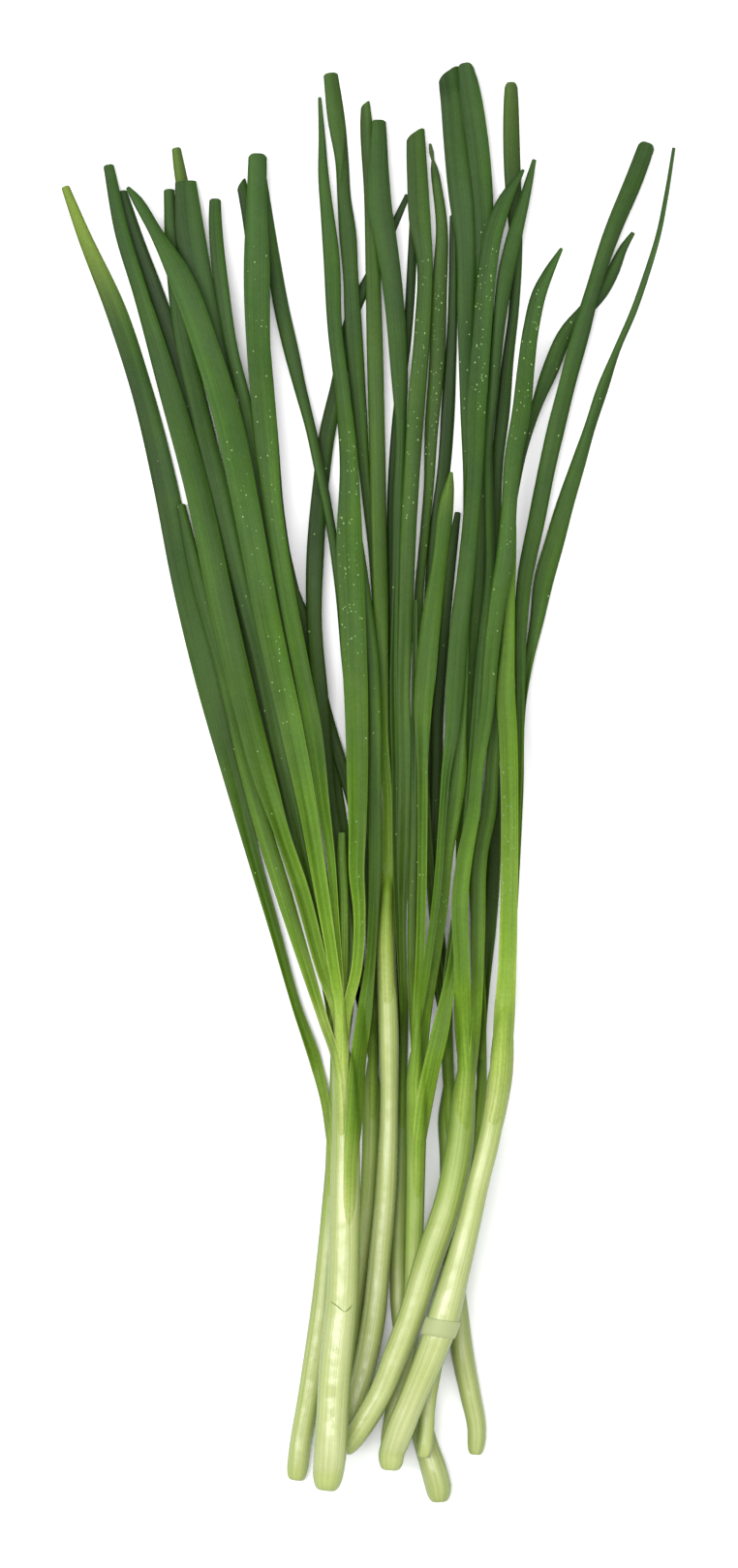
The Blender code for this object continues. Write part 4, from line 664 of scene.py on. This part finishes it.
def lowest_stations(strip, top, owner, shoot_number):
    """The lowest height each station may have so that the strip clears all that lies under it."""
    least = np.zeros(len(strip.plan))
    for i, shares, spots, low, _ in strip.samples():
        columns, rows = cells_of(spots)
        beneath = top[columns, rows].copy()
        if not strip.is_stalk:
            in_root = strip.along[i] + shares * strip.spacing[i] < ROOT_ZONE
            beneath[in_root & (owner[columns, rows] == shoot_number)] = 0.0
        needed = np.where(beneath > 0, beneath + GAP - low, 0.0).max()
        least[i] = max(least[i], needed)
        least[i + 1] = max(least[i + 1], needed)
    return least


def settle(strip, stalk, top, owner, shoot_number):
    """Lays the strip on the pile as a stiff ribbon that sags a little between what holds it up."""
    least = lowest_stations(strip, top, owner, shoot_number)
    sag = STALK_SAG if strip.is_stalk else LEAF_SAG
    base = least.copy()
    if stalk is not None:
        middle = strip.profile[0][:, 1].max() / 2
        base[0] = max(0.0, stalk.height_at(strip.plan[0]) - middle)
    for _ in range(SETTLING_ROUNDS):
        for i in range(1, len(base) - 1):
            before, after = strip.spacing[i - 1], strip.spacing[i]
            straight = (base[i - 1] * after + base[i + 1] * before) / (before + after)
            base[i] = max(least[i], straight - sag * before * after / 2)
        base[-1] = max(least[-1], base[-2] - END_DROOP * strip.spacing[-1])
        if strip.is_stalk:
            onward = (base[1] - base[2]) * strip.spacing[0] / strip.spacing[1]
            base[0] = max(least[0], base[1] + onward - END_DROOP * strip.spacing[0])
    strip.base = base


def stamp(strip, top, owner, shoot_number):
    """Marks the strip's topside on the height map, one cell wider all round."""
    for i, shares, spots, _, high in strip.samples():
        heights = ((1 - shares) * strip.base[i] + shares * strip.base[i + 1] + high).ravel()
        order = np.argsort(heights)
        heights = heights[order]
        columns, rows = [cells.ravel()[order] for cells in cells_of(spots)]
        for right in (-1, 0, 1):
            for up in (-1, 0, 1):
                higher = heights > top[columns + right, rows + up]
                place = (columns[higher] + right, rows[higher] + up)
                top[place] = heights[higher]
                owner[place] = shoot_number


def pile_up():
    """Every strip in order, each laid on those before it."""
    top = np.zeros(GRID_SIZE)
    owner = np.full(GRID_SIZE, -1)
    numbers = {}
    stalks = {}
    strips = []
    for name, shoot, points in PILE:
        strip = Strip(name, shoot, points)
        number = numbers.setdefault(shoot, len(numbers))
        settle(strip, stalks.get(shoot), top, owner, number)
        stamp(strip, top, owner, number)
        if strip.is_stalk:
            stalks[shoot] = strip
        strips.append(strip)
    return strips


def through(along, values, places):
    """A smooth curve through values at given distances along a strip, read at other distances."""
    values = np.asarray(values, float)
    flat = values.ndim == 1
    if flat:
        values = values[:, None]
    steps = np.diff(along)[:, None]
    slopes = np.diff(values, axis=0) / steps
    inner = (slopes[:-1] * steps[1:] + slopes[1:] * steps[:-1]) / (steps[1:] + steps[:-1])
    tangents = np.vstack([slopes[:1], inner, slopes[-1:]])
    i = np.clip(np.searchsorted(along, places, side="right") - 1, 0, len(along) - 2)
    width = np.diff(along)[i][:, None]
    t = (places - along[i])[:, None] / width
    found = (
        (2 * t ** 3 - 3 * t ** 2 + 1) * values[i]
        + (t ** 3 - 2 * t ** 2 + t) * width * tangents[i]
        + (3 * t ** 2 - 2 * t ** 3) * values[i + 1]
        + (t ** 3 - t ** 2) * width * tangents[i + 1])
    return found[:, 0] if flat else found


class Fine:
    """Stations close together along a strip."""

    def __init__(self, strip):
        length = strip.along[-1]
        if strip.is_stalk:
            self.along = np.linspace(0.0, length, int(length / STATION_STEP) + 2)
        else:
            near = np.arange(0.0, min(FORK_LENGTH, 0.5 * length), FORK_STEP)
            rest = np.linspace(near[-1] + FORK_STEP, length, int((length - near[-1]) / STATION_STEP) + 2)
            self.along = np.concatenate([near, rest])
            folds = [outline[1][1] for outline in strip.profile]
            self.fold = through(strip.along, folds, self.along)
        self.plan = through(strip.along, strip.plan, self.along)
        self.base = np.maximum(0.0, through(strip.along, strip.base, self.along))
        self.half = through(strip.along, strip.half_width, self.along)
        self.turn()

    def turn(self):
        """Works out the direction across the strip at each station."""
        self.across = across_from(unit_rows(np.gradient(self.plan, self.along, axis=0)))

    def start_on(self, stalk, share):
        """Adds the stations of a leaf's foot, which lies on its stalk below where the leaf leaves it."""
        near = int(np.argmin(np.linalg.norm(stalk.plan - self.plan[0], axis=1)))
        self.side = np.dot(self.plan[0] - stalk.plan[near], stalk.across[near])
        self.shift = stalk.along[near]
        reach = min(FOOT_LENGTH, stalk.along[near] - FOOT_CLEARANCE)
        if reach < 2 * FORK_STEP:
            return
        foot = np.arange(-reach, -0.5 * FORK_STEP, FORK_STEP)
        places = stalk.along[near] + foot
        across = through(stalk.along, stalk.across, places)
        room = through(stalk.along, stalk.half, places)
        limit = np.maximum(0.0, room - np.maximum(FOOT_ROOM * self.half[0], share * room))
        side = np.clip(self.side * (1 + FOOT_SPREAD * foot), -limit, limit)
        plan = through(stalk.along, stalk.plan, places) + side[:, None] * across
        risen = smooth_step(-reach, 0.0, foot)
        shift = self.plan[0] - plan[-1] - (plan[-1] - plan[-2])
        plan += shift * risen[:, None]
        count = len(foot)
        self.along = np.concatenate([foot, self.along])
        self.plan = np.vstack([plan, self.plan])
        self.base, self.half, self.fold = [
            np.concatenate([np.full(count, values[0]), values])
            for values in (self.base, self.half, self.fold)]
        self.turn()
        self.half[:count] *= 1 - FOOT_NARROWING + FOOT_NARROWING * risen


class Surface:
    """Rings of points gathered into one mesh, with a place on the strip and a tint at each point."""

    def __init__(self, name):
        self.name = name
        self.points = []
        self.faces = []
        self.places = []
        self.tints = []
        self.kinds = []

    def add(self, rings, places, tints, close_start=True, close_end=True, kind=0):
        first = len(self.points)
        first_face = len(self.faces)
        count = len(rings[0])
        for ring, place, tint in zip(rings, places, tints):
            above_table = np.array(ring, float)
            above_table[:, 2] = np.maximum(above_table[:, 2], 0.0)
            self.points.extend(map(tuple, METRES * above_table))
            self.places.extend(place)
            self.tints.extend(tint)
        for k in range(len(rings) - 1):
            for j in range(count):
                a = first + k * count + j
                b = first + k * count + (j + 1) % count
                self.faces.append((b, a, a + count, b + count))
        if close_start:
            self.faces.append(tuple(range(first, first + count)))
        if close_end:
            last = first + (len(rings) - 1) * count
            self.faces.append(tuple(reversed(range(last, last + count))))
        self.kinds.extend([kind] * (len(self.faces) - first_face))

    def build(self, materials):
        mesh = bpy.data.meshes.new(self.name)
        mesh.from_pydata(self.points, [], self.faces)
        uv_map = mesh.uv_layers.new(name="strip")
        loops = np.empty(len(mesh.loops), int)
        mesh.loops.foreach_get("vertex_index", loops)
        uv_map.data.foreach_set("uv", np.array(self.places, float)[loops].ravel())
        tint = mesh.color_attributes.new("tint", "FLOAT_COLOR", "POINT")
        tint.data.foreach_set("color", np.array(self.tints, float).ravel())
        for material in materials:
            mesh.materials.append(material)
        mesh.polygons.foreach_set("material_index", self.kinds)
        mesh.shade_smooth()
        mesh.set_sharp_from_angle(angle=SHARP_ANGLE)
        made = bpy.data.objects.new(self.name, mesh)
        bpy.context.scene.collection.objects.link(made)
        return made


def leaf_section(half, fold, share):
    """Points round a leaf, its keeled underside from left to right and then its channelled top.

    Each is (offset, height), with its place from -1 to 1 across the leaf and its thickness.
    """
    u = np.linspace(-1.0, 1.0, LEAF_COLUMNS)
    keel = np.sqrt(u ** 2 + KEEL_SOFTNESS ** 2) - KEEL_SOFTNESS
    keel = fold * keel / (np.sqrt(1 + KEEL_SOFTNESS ** 2) - KEEL_SOFTNESS)
    thickness = FINE_EDGE + (FINE_BLADE - FINE_EDGE) * (1 - np.abs(u) ** BLADE_ROUNDING) ** BLADE_FULLNESS
    thickness = share * np.minimum(thickness, FINE_EDGE + half * THICKNESS_GAIN)
    channel = fold + share * FINE_EDGE - CHANNEL_DEPTH * half * (1 - np.abs(u))
    top = np.maximum(keel + thickness, channel)
    lower = np.stack([u * half, keel], axis=1)
    upper = np.stack([u[::-1] * half, top[::-1]], axis=1)
    places = np.concatenate([u, u[::-1]])
    thicknesses = np.concatenate([np.zeros(LEAF_COLUMNS), thickness[::-1]])
    return np.vstack([lower, upper]), places, thicknesses


def tapered(stalk):
    """How far the stalk has narrowed under its leaves at each station, from 0 to 1."""
    return smooth_step(stalk.along[-1] - STALK_TAPER, stalk.along[-1], stalk.along)


class Bed:
    """The stalk's surface under a leaf's foot."""

    def __init__(self, stalk):
        self.stalk = stalk
        self.body = stalk.half * (1 - BED_TAPER * tapered(stalk))
        self.middle_height = stalk.base + stalk.half * STALK_FLATNESS

    def half_at(self, spots):
        nearest = [int(np.argmin(((self.stalk.plan - spot) ** 2).sum(axis=1))) for spot in spots]
        return self.stalk.half[nearest]

    def under(self, ring):
        """The stalk's height under each point of a ring, falling away beside the stalk and past its end."""
        steps = self.stalk.plan - ring[:, :2].mean(axis=0)
        near = int(np.argmin((steps ** 2).sum(axis=1)))
        across = self.stalk.across[near]
        ahead = -np.dot(steps[near], ahead_of(across))
        along = self.stalk.along[near] + ahead
        read = np.clip(along, 0.0, self.stalk.along[-1])
        body = np.interp(read, self.stalk.along, self.body)
        middle_height = np.interp(read, self.stalk.along, self.middle_height)
        middle = self.stalk.plan[near] + ahead * ahead_of(across)
        outward = np.abs((ring[:, :2] - middle) @ across)
        share = np.clip(outward / body, 0.0, 1.0)
        height = middle_height + body * STALK_FLATNESS * np.sqrt(1 - share ** 2)
        height = height - BESIDE_SLOPE * np.maximum(0.0, outward - body)
        return height - PAST_SLOPE * max(0.0, along - self.stalk.along[-1])


def stalk_paleness(shoot, up):
    return np.interp(up, *STALK_LOOKS[shoot])


def stalk_tone(shoot):
    return STALK_TONES.get(shoot, PLAIN_TONE)


def leaf_tint(strip, look, fine, depth, rng):
    """How pale each station is, with the leaf's tone, painted shade lower in the pile and at shaded feet, and
    yellowness.
    """
    length = fine.along[-1]
    foot = stalk_paleness(strip.shoot, np.minimum(fine.plan[:, 1], strip.plan[0][1]))
    foot += look["foot"] * smooth_step(-FOOT_LENGTH, 0.0, fine.along)
    pale = foot * np.exp(-np.maximum(0.0, fine.along) / look["fade"])
    tip = smooth_step(length - look["tip_length"], length - TIP_YELLOW_END, fine.along)
    yellow = (look["yellow"] + look["tip_yellow"] * tip) * smooth_step(0.0, YELLOW_START, fine.along)
    # Painted shade: darker lower in the pile, and at the shaded feet of inner shoots
    tone_and_painted_shade = look["tone"] + TONE_RANGE * (rng.random() - 0.5) + PAINTED_DEPTH_SHADE * (depth - MIDDLE_DEPTH)
    tone_and_painted_shade = tone_and_painted_shade - SHADED_FEET.get(strip.shoot, 0.0) * (1 - smooth_step(*SHADE_REACH, fine.along))
    joined = smooth_step(-STALK_TONE_SHARE * FOOT_LENGTH, STALK_TONE_END, fine.along)
    tone = (1 - joined) * stalk_tone(strip.shoot) + joined * tone_and_painted_shade
    wave_length = rng.uniform(*TONE_WAVES)
    tone = tone + joined * TONE_WAVE * wave(fine.along, wave_length, rng.uniform(0, 2 * np.pi))
    return np.clip(pale, 0, 1), np.clip(tone, 0.0, 1.0), np.clip(yellow, 0, 1)


def add_leaf(surface, strip, stalk, rank, depth, rng):
    """A leaf whose foot lies on its stalk and opens into a keeled strap with a cut or tapering tip."""
    look = {**PLAIN_LEAF, **LEAF_LOOKS.get(strip.name, {})}
    fine = Fine(strip)
    fine.start_on(stalk, look["wide_foot"])
    along, length = fine.along, fine.along[-1]
    bed = Bed(stalk)
    pale, tone, yellow = leaf_tint(strip, look, fine, depth, rng)
    opened = smooth_step(OPENING_START, min(OPENING_END, SHORT_LEAF_OPENING * length), along)
    widened = smooth_step(along[0], along[0] + WIDE_FOOT_START, along)
    narrowed = 1 - WIDE_FOOT_NARROWING + WIDE_FOOT_NARROWING * widened
    sheath = look["wide_foot"] * narrowed * bed.half_at(fine.plan)
    fine.half = np.maximum(fine.half, sheath * (1 - smooth_step(*WIDE_FOOT_FADE, along)))
    risen = smooth_step(along[0], RISEN_AT, along)
    lifts = (FOOT_LIFT + FOOT_LIFT_STEP * rank) * risen - FOOT_SINK * (1 - risen)
    phase, wave_length = rng.uniform(0, 2 * np.pi), rng.uniform(*ROLL_WAVES)
    sway = ROLL * wave(along, wave_length, phase) * smooth_step(*ROLL_START, along)
    # Painted light and shade: one half of the leaf lighter, the other darker, either side of the keel
    phase, wave_length = rng.uniform(0, 2 * np.pi), rng.uniform(*HALVES_WAVES)
    half_shade = PAINTED_HALF_SHADE * wave(along, wave_length, phase) * smooth_step(*HALVES_START, along)
    if look["ragged"]:
        worn = smooth_step(length - look["ragged"], length - look["ragged"] + WORN_START, along)
        fine.half *= 1 - worn * rng.uniform(0.0, DEEPEST_WEAR, len(along))
    near_tip = smooth_step(length - TIP_LENGTH, length, along)
    turn_back, turn_slope, turn_tone = look["turned"]
    rings, places, tints = [], [], []
    for i in range(len(along)):
        thick = YOUNG_THICKNESS + (1 - YOUNG_THICKNESS) * opened[i]
        section, u, out = leaf_section(fine.half[i], fine.fold[i], thick)
        pushed = near_tip[i] * fine.half[i] * (look["slant"] * u - look["rounding"] * np.abs(u) ** 4)
        spread = section[:, 0][:, None] * fine.across[i] + pushed[:, None] * ahead_of(fine.across[i])
        height = fine.base[i] + section[:, 1] + section[:, 0] * sway[i]
        turned = 0.0
        if turn_back:
            past_fold = along[i] - (length - turn_back) - turn_slope * u
            height = height + TURNED_HEIGHT * np.exp(-(past_fold / TURNED_WIDTH) ** 2)
            turned = turn_tone * smooth_step(-TURNED_BLUR, TURNED_BLUR, past_fold)
        ring = np.column_stack([fine.plan[i] + spread, height])
        if along[i] < DRAPE_LENGTH:
            laid = bed.under(ring) + lifts[i] + out
            ring[:, 2] = (1 - opened[i]) * laid + opened[i] * np.maximum(ring[:, 2], laid)
        rings.append(ring)
        up = (along[i] + fine.shift) / UV_LENGTH
        places.append([((side + fine.side) / UV_LENGTH, up) for side in u * fine.half[i]])
        margin = MARGIN_PALENESS * smooth_step(MARGIN_START, 1.0, np.abs(u)) * min(1.0, MARGIN_GAIN * pale[i])
        # Painted shade: darker towards the edges
        edge_shade = PAINTED_EDGE_SHADE * np.abs(u) ** 3 * opened[i]
        tones = np.clip(tone[i] + half_shade[i] * np.tanh(u / KEEL_BLUR) - edge_shade + turned, 0.0, 1.0)
        tints.append([
            (min(1.0, pale[i] + more), light, yellow[i], 1.0) for more, light in zip(margin, tones)])
    surface.add(rings, places, tints)
    add_drops(surface, strip.name, fine, rings, rng)


def add_drops(surface, name, fine, rings, rng):
    """Small water drops on the top of a leaf, most of them where the photograph shows them."""
    ups = fine.plan[:, 1]
    can_carry = (fine.along > DROPS_START) & (fine.half > DROP_LEAF_HALF_WIDTH)
    for low, high, count in DROPS.get(name, STRAY_DROPS):
        inside = np.flatnonzero((ups > low) & (ups < high) & can_carry)
        if len(inside) < FEWEST_DROP_PLACES:
            continue
        for _ in range(count):
            i = int(rng.choice(inside[:-1]))
            column = LEAF_COLUMNS + int(rng.integers(1, LEAF_COLUMNS - 2))
            share, step = rng.random(2)
            side = (1 - step) * rings[i][column] + step * rings[i][column + 1]
            ahead = (1 - step) * rings[i + 1][column] + step * rings[i + 1][column + 1]
            add_drop(surface, (1 - share) * side + share * ahead, rng.uniform(*DROP_RADII))


def add_drop(surface, spot, radius):
    turns = np.linspace(0, 2 * np.pi, DROP_SIDES, endpoint=False)
    rings = []
    for scale, rise in DROP_PROFILE:
        around = radius * scale * np.column_stack([np.cos(turns), DROP_STRETCH * np.sin(turns)])
        rings.append(np.column_stack([spot[:2] + around, np.full(DROP_SIDES, spot[2] + radius * rise)]))
    nowhere = [[(0.0, 0.0)] * DROP_SIDES] * len(rings)
    surface.add(rings, nowhere, [[DROP_TINT] * DROP_SIDES] * len(rings), close_start=False, kind=1)


def stalk_ring(fine, i, scale, advance=0.0, oblique=0.0):
    half = fine.half[i]
    forward = ahead_of(fine.across[i])
    offsets = half * scale * np.cos(STALK_TURNS)
    spread = offsets[:, None] * fine.across[i] + (oblique * offsets)[:, None] * forward
    middle = fine.plan[i] + advance * forward
    heights = fine.base[i] + half * STALK_FLATNESS * (1 + scale * np.sin(STALK_TURNS))
    return np.column_stack([middle + spread, heights])


def add_stalk(surface, shoot, fine):
    """The stalk with its tapering top and its rounded cut end, whose face shows rolled sheaths as rings."""
    widths = 1 - STALK_TIP_NARROWING * tapered(fine)
    full = fine.half.max()
    on_top = np.sin(STALK_TURNS) > STALK_TOP_LEVEL
    sides = np.where(on_top, full * np.cos(STALK_TURNS), full * (1 + np.sin(STALK_TURNS)))
    tone = stalk_tone(shoot)
    rings, places, tints = [], [], []

    def put(ring, along, pale, yellow=0.0):
        rings.append(ring)
        places.append([(side / UV_LENGTH, along / UV_LENGTH) for side in sides])
        tints.append([(pale, tone, yellow, 1.0)] * STALK_COLUMNS)

    for scale, advance, yellow in CUT_FACE:
        local = np.interp(advance, fine.along, fine.half) / fine.half[0]
        put(stalk_ring(fine, 0, scale * local, advance), 0.0, CUT_PALENESS, yellow)
    for i in range(len(fine.along)):
        if fine.along[i] >= CUT_FACE[-1][1] + CUT_FACE_MARGIN:
            put(stalk_ring(fine, i, widths[i]), fine.along[i], stalk_paleness(shoot, fine.plan[i][1]))
    surface.add(rings, places, tints)


def add_crack(surface, stalk, corners):
    """A thin torn edge in the skin of a stalk, through corners given in plan."""
    bed = Bed(stalk)
    corners = np.array(corners)
    along = np.concatenate([[0.0], np.cumsum(np.linalg.norm(np.diff(corners, axis=0), axis=1))])
    places = np.linspace(0.0, along[-1], CRACK_STEPS)
    spots = np.column_stack([np.interp(places, along, line) for line in corners.T])
    forward = unit_rows(np.gradient(spots, axis=0))
    rises = [-CRACK_SINK, -CRACK_SINK, CRACK_RAISE, CRACK_RAISE]
    rings = []
    shares = np.linspace(0.0, 1.0, CRACK_STEPS)
    for spot, across, share in zip(spots, across_from(forward), shares):
        width = CRACK_WIDTH * (CRACK_END_WIDTH + np.sin(np.pi * share))
        plan = spot + np.outer([-width, width, CRACK_TOP_SHARE * width, -CRACK_TOP_SHARE * width], across)
        rings.append(np.column_stack([plan, bed.under(plan) + rises]))
    nowhere = [[(0.0, 0.0)] * len(rises)] * CRACK_STEPS
    surface.add(rings, nowhere, [[CRACK_TINT] * len(rises)] * CRACK_STEPS)


def add_sheath_ring(surface, fine):
    """A short dry collar left from an outer sheath, lying askew round its stalk."""
    near = np.argmin(np.abs(fine.plan[:, 1] - RING_CENTRE_Y))
    slope = (fine.base[near + 1] - fine.base[near - 1]) / (fine.along[near + 1] - fine.along[near - 1])
    around = np.linspace(0, 1, STALK_COLUMNS, endpoint=False)
    rings, places, tints = [], [], []
    for share, raise_by in RING_PROFILE:
        advance = share * RING_HALF_LENGTH
        ring = stalk_ring(fine, near, 1 + raise_by / fine.half[near], advance, RING_OBLIQUE)
        ring[:, 2] += slope * advance
        rings.append(ring)
        places.append([(place, advance / UV_LENGTH) for place in around])
        tints.append([RING_TINT] * STALK_COLUMNS)
    surface.add(rings, places, tints, close_start=False, close_end=False)


def new_material(name):
    material = bpy.data.materials.new(name)
    material.use_nodes = True
    tree = material.node_tree
    return material, tree, tree.nodes["Principled BSDF"]


def feed(tree, node, inputs):
    """Sets a node's inputs, by name or number: an output is linked, and a plain value is set."""
    for place, source in inputs.items():
        if isinstance(source, bpy.types.NodeSocket):
            tree.links.new(source, node.inputs[place])
        else:
            node.inputs[place].default_value = source
    return node.outputs


def separate(tree, kind, source):
    return feed(tree, tree.nodes.new(kind), {0: source})


def calculate(tree, kind, operation, inputs):
    node = tree.nodes.new(kind)
    node.operation = operation
    return feed(tree, node, inputs)[0]


def noise(tree, place, scale, detail, roughness=0.5):
    node = tree.nodes.new("ShaderNodeTexNoise")
    inputs = {"Vector": place, "Scale": scale, "Detail": detail, "Roughness": roughness}
    return feed(tree, node, inputs)["Fac"]


def map_range(tree, value, low, high, to_low=0.0, to_high=1.0):
    node = tree.nodes.new("ShaderNodeMapRange")
    inputs = {"Value": value, "From Min": low, "From Max": high, "To Min": to_low, "To Max": to_high}
    return feed(tree, node, inputs)["Result"]


def mix_colours(tree, blend, factor, first, second):
    node = tree.nodes.new("ShaderNodeMix")
    node.data_type = "RGBA"
    node.blend_type = blend
    return feed(tree, node, {"Factor": factor, "A": first, "B": second})["Result"]


def bump(tree, inputs):
    return feed(tree, tree.nodes.new("ShaderNodeBump"), inputs)["Normal"]


def colour_ramp(tree, source, stops):
    node = tree.nodes.new("ShaderNodeValToRGB")
    elements = node.color_ramp.elements
    while len(elements) < len(stops):
        elements.new(0.5)
    for element, (place, colour) in zip(elements, stops):
        element.position = place
        element.color = (*colour, 1.0)
    return feed(tree, node, {"Fac": source})["Color"]


def chive_material(name, shine, painted_side_shade, veining, mottling):
    """Green that pales and grows glossier towards the cut end, with fine lengthwise veins."""
    material, tree, shader = new_material(name)
    uv = tree.nodes.new("ShaderNodeUVMap")
    uv.uv_map = "strip"
    split = separate(tree, "ShaderNodeSeparateXYZ", uv.outputs["UV"])
    tint = tree.nodes.new("ShaderNodeAttribute")
    tint.attribute_name = "tint"
    pale, tone, yellow = separate(tree, "ShaderNodeSeparateColor", tint.outputs["Color"])
    solid = tree.nodes.new("ShaderNodeTexCoord").outputs["Object"]

    # Paleness, with broad blotches
    blotches = noise(tree, solid, scale=70.0, detail=3.0)
    spread = calculate(tree, "ShaderNodeMath", "MULTIPLY_ADD", {0: blotches, 1: BLOTCHING, 2: -BLOTCHING / 2})
    paleness = calculate(tree, "ShaderNodeMath", "ADD", {0: pale, 1: spread})
    green = colour_ramp(tree, paleness, GREEN_STOPS)

    # Lengthwise veins, and the yellow of old leaves
    wide = calculate(tree, "ShaderNodeMath", "MULTIPLY", {0: split[0], 1: VEINS})
    streak_place = feed(tree, tree.nodes.new("ShaderNodeCombineXYZ"), {0: wide, 1: split[1], 2: tone})[0]
    streaks = noise(tree, streak_place, scale=1.5, detail=4.0, roughness=0.65)
    streaked = mix_colours(tree, "MULTIPLY", veining, green, colour_ramp(tree, streaks, STREAK_STOPS))
    yellowed = mix_colours(tree, "MIX", yellow, streaked, YELLOWED)

    # Each leaf's tone, which carries painted shade too, and painted shade: darker where the surface turns down
    gain = calculate(tree, "ShaderNodeMath", "MULTIPLY_ADD", {0: tone, 1: TONE_GAIN, 2: DARKEST_GAIN})
    toned = calculate(tree, "ShaderNodeVectorMath", "SCALE", {0: yellowed, "Scale": gain})
    normal = tree.nodes.new("ShaderNodeNewGeometry").outputs["Normal"]
    level = map_range(tree, separate(tree, "ShaderNodeSeparateXYZ", normal)[2], *SIDE_SHADE_LEVELS)
    sides = colour_ramp(tree, level, [(0.0, painted_side_shade), (1.0, (1.0, 1.0, 1.0))])
    shaded = calculate(tree, "ShaderNodeVectorMath", "MULTIPLY", {0: toned, 1: sides})

    # Fine mottling
    mottles = noise(tree, solid, scale=1300.0, detail=2.0)
    mottle_gain = map_range(tree, mottles, low=0.3, high=0.7, to_low=1 - mottling, to_high=1 + mottling)
    mottled = calculate(tree, "ShaderNodeVectorMath", "SCALE", {0: shaded, "Scale": mottle_gain})

    # Gloss, fine ribs and broader swells
    gloss = map_range(tree, paleness, *GLOSSY_PALENESS, to_low=LEAF_ROUGHNESS, to_high=STALK_ROUGHNESS)
    ribs = noise(tree, streak_place, scale=2.4, detail=2.0)
    ribbed = bump(tree, {"Height": ribs, "Strength": 0.35, "Distance": 0.0002})
    waves = noise(tree, solid, scale=170.0, detail=1.5)
    swell = bump(tree, {"Height": waves, "Strength": 0.5, "Distance": 0.0006, "Normal": ribbed})
    feed(tree, shader, {"Base Color": mottled, "Roughness": gloss, "Normal": swell})
    shader.inputs["Specular IOR Level"].default_value = shine
    return material


def plain_material(name, colour, roughness, shine=0.5):
    material, _, shader = new_material(name)
    shader.inputs["Base Color"].default_value = (*colour, 1.0)
    shader.inputs["Roughness"].default_value = roughness
    shader.inputs["Specular IOR Level"].default_value = shine
    return material


def sheath_material():
    return plain_material("dry_sheath", colour=(0.30, 0.345, 0.15), roughness=0.6)


def water_material():
    return plain_material("water_drop", colour=(0.15, 0.26, 0.07), roughness=0.06, shine=0.6)


def table_material():
    return plain_material("pale_table", colour=(0.95, 0.95, 0.95), roughness=0.9, shine=0.1)


def add_camera():
    data = bpy.data.cameras.new("camera")
    data.sensor_fit = "VERTICAL"
    data.sensor_height = SENSOR_MM
    data.lens = LENS_MM
    data.clip_end = FARTHEST_SEEN
    camera = bpy.data.objects.new("camera", data)
    camera.location = (0.0, 0.0, FRAME_PLANE_Z + FRAME_HEIGHT * LENS_MM / SENSOR_MM)
    bpy.context.scene.collection.objects.link(camera)
    bpy.context.scene.camera = camera


def add_light(name, place, size, power):
    data = bpy.data.lights.new(name, "AREA")
    data.shape = "RECTANGLE"
    data.size, data.size_y = size
    data.energy = power
    light = bpy.data.objects.new(name, data)
    light.location = place
    light.rotation_euler = (-Vector(place)).to_track_quat("-Z", "Y").to_euler()
    bpy.context.scene.collection.objects.link(light)


def add_studio():
    bpy.ops.mesh.primitive_plane_add(size=TABLE_SIZE, location=(0.0, 0.0, 0.0))
    table = bpy.context.object
    table.name = "table_top"
    table.data.materials.append(table_material())
    for light in LIGHTS:
        add_light(*light)
    world = bpy.data.worlds.new("studio")
    bpy.context.scene.world = world
    world.use_nodes = True
    background = world.node_tree.nodes["Background"]
    background.inputs["Color"].default_value = (1.0, 1.0, 1.0, 1.0)
    background.inputs["Strength"].default_value = SKY_STRENGTH
    bpy.context.scene.view_settings.view_transform = "Standard"


def main():
    leaf_material = chive_material(
        "chive_leaf", shine=0.15, painted_side_shade=(0.50, 0.60, 0.38), veining=0.82, mottling=0.08)
    stalk_material = chive_material(
        "chive_stalk", shine=0.48, painted_side_shade=(0.42, 0.54, 0.30), veining=0.68, mottling=0.03)
    drop_material = water_material()
    ring_material = sheath_material()
    rng = np.random.default_rng(RANDOM_SEED)
    strips = pile_up()
    stalks = [strip for strip in strips if strip.is_stalk]
    for stalk in stalks:
        shoot = stalk.shoot
        node = "shoot_" + shoot
        fine_stalk = Fine(stalk)
        stalk_surface = Surface("stalk_" + shoot)
        leaf_surface = Surface("leaves_" + shoot)
        pieces = [
            (stalk_surface, [stalk_material], "stalk"),
            (leaf_surface, [leaf_material, drop_material], "leaf")]
        add_stalk(stalk_surface, shoot, fine_stalk)
        if shoot == "front_left":
            for corners in CRACKS:
                add_crack(stalk_surface, fine_stalk, corners)
        if shoot == "front_right":
            ring_surface = Surface("dry_sheath_ring")
            add_sheath_ring(ring_surface, fine_stalk)
            pieces.append((ring_surface, [ring_material], "dry_sheath"))
        leaves = [strip for strip in strips if strip.shoot == shoot and not strip.is_stalk]
        from_inside = sorted(leaves, key=lambda strip: -strip.plan[0][1])
        for strip in leaves:
            depth = strips.index(strip) / len(strips)
            add_leaf(leaf_surface, strip, fine_stalk, from_inside.index(strip), depth, rng)
        for surface, materials, slot in pieces:
            piece = surface.build(materials)
            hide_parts(node)
            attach(piece, "root")
    add_studio()
    add_camera()


main()
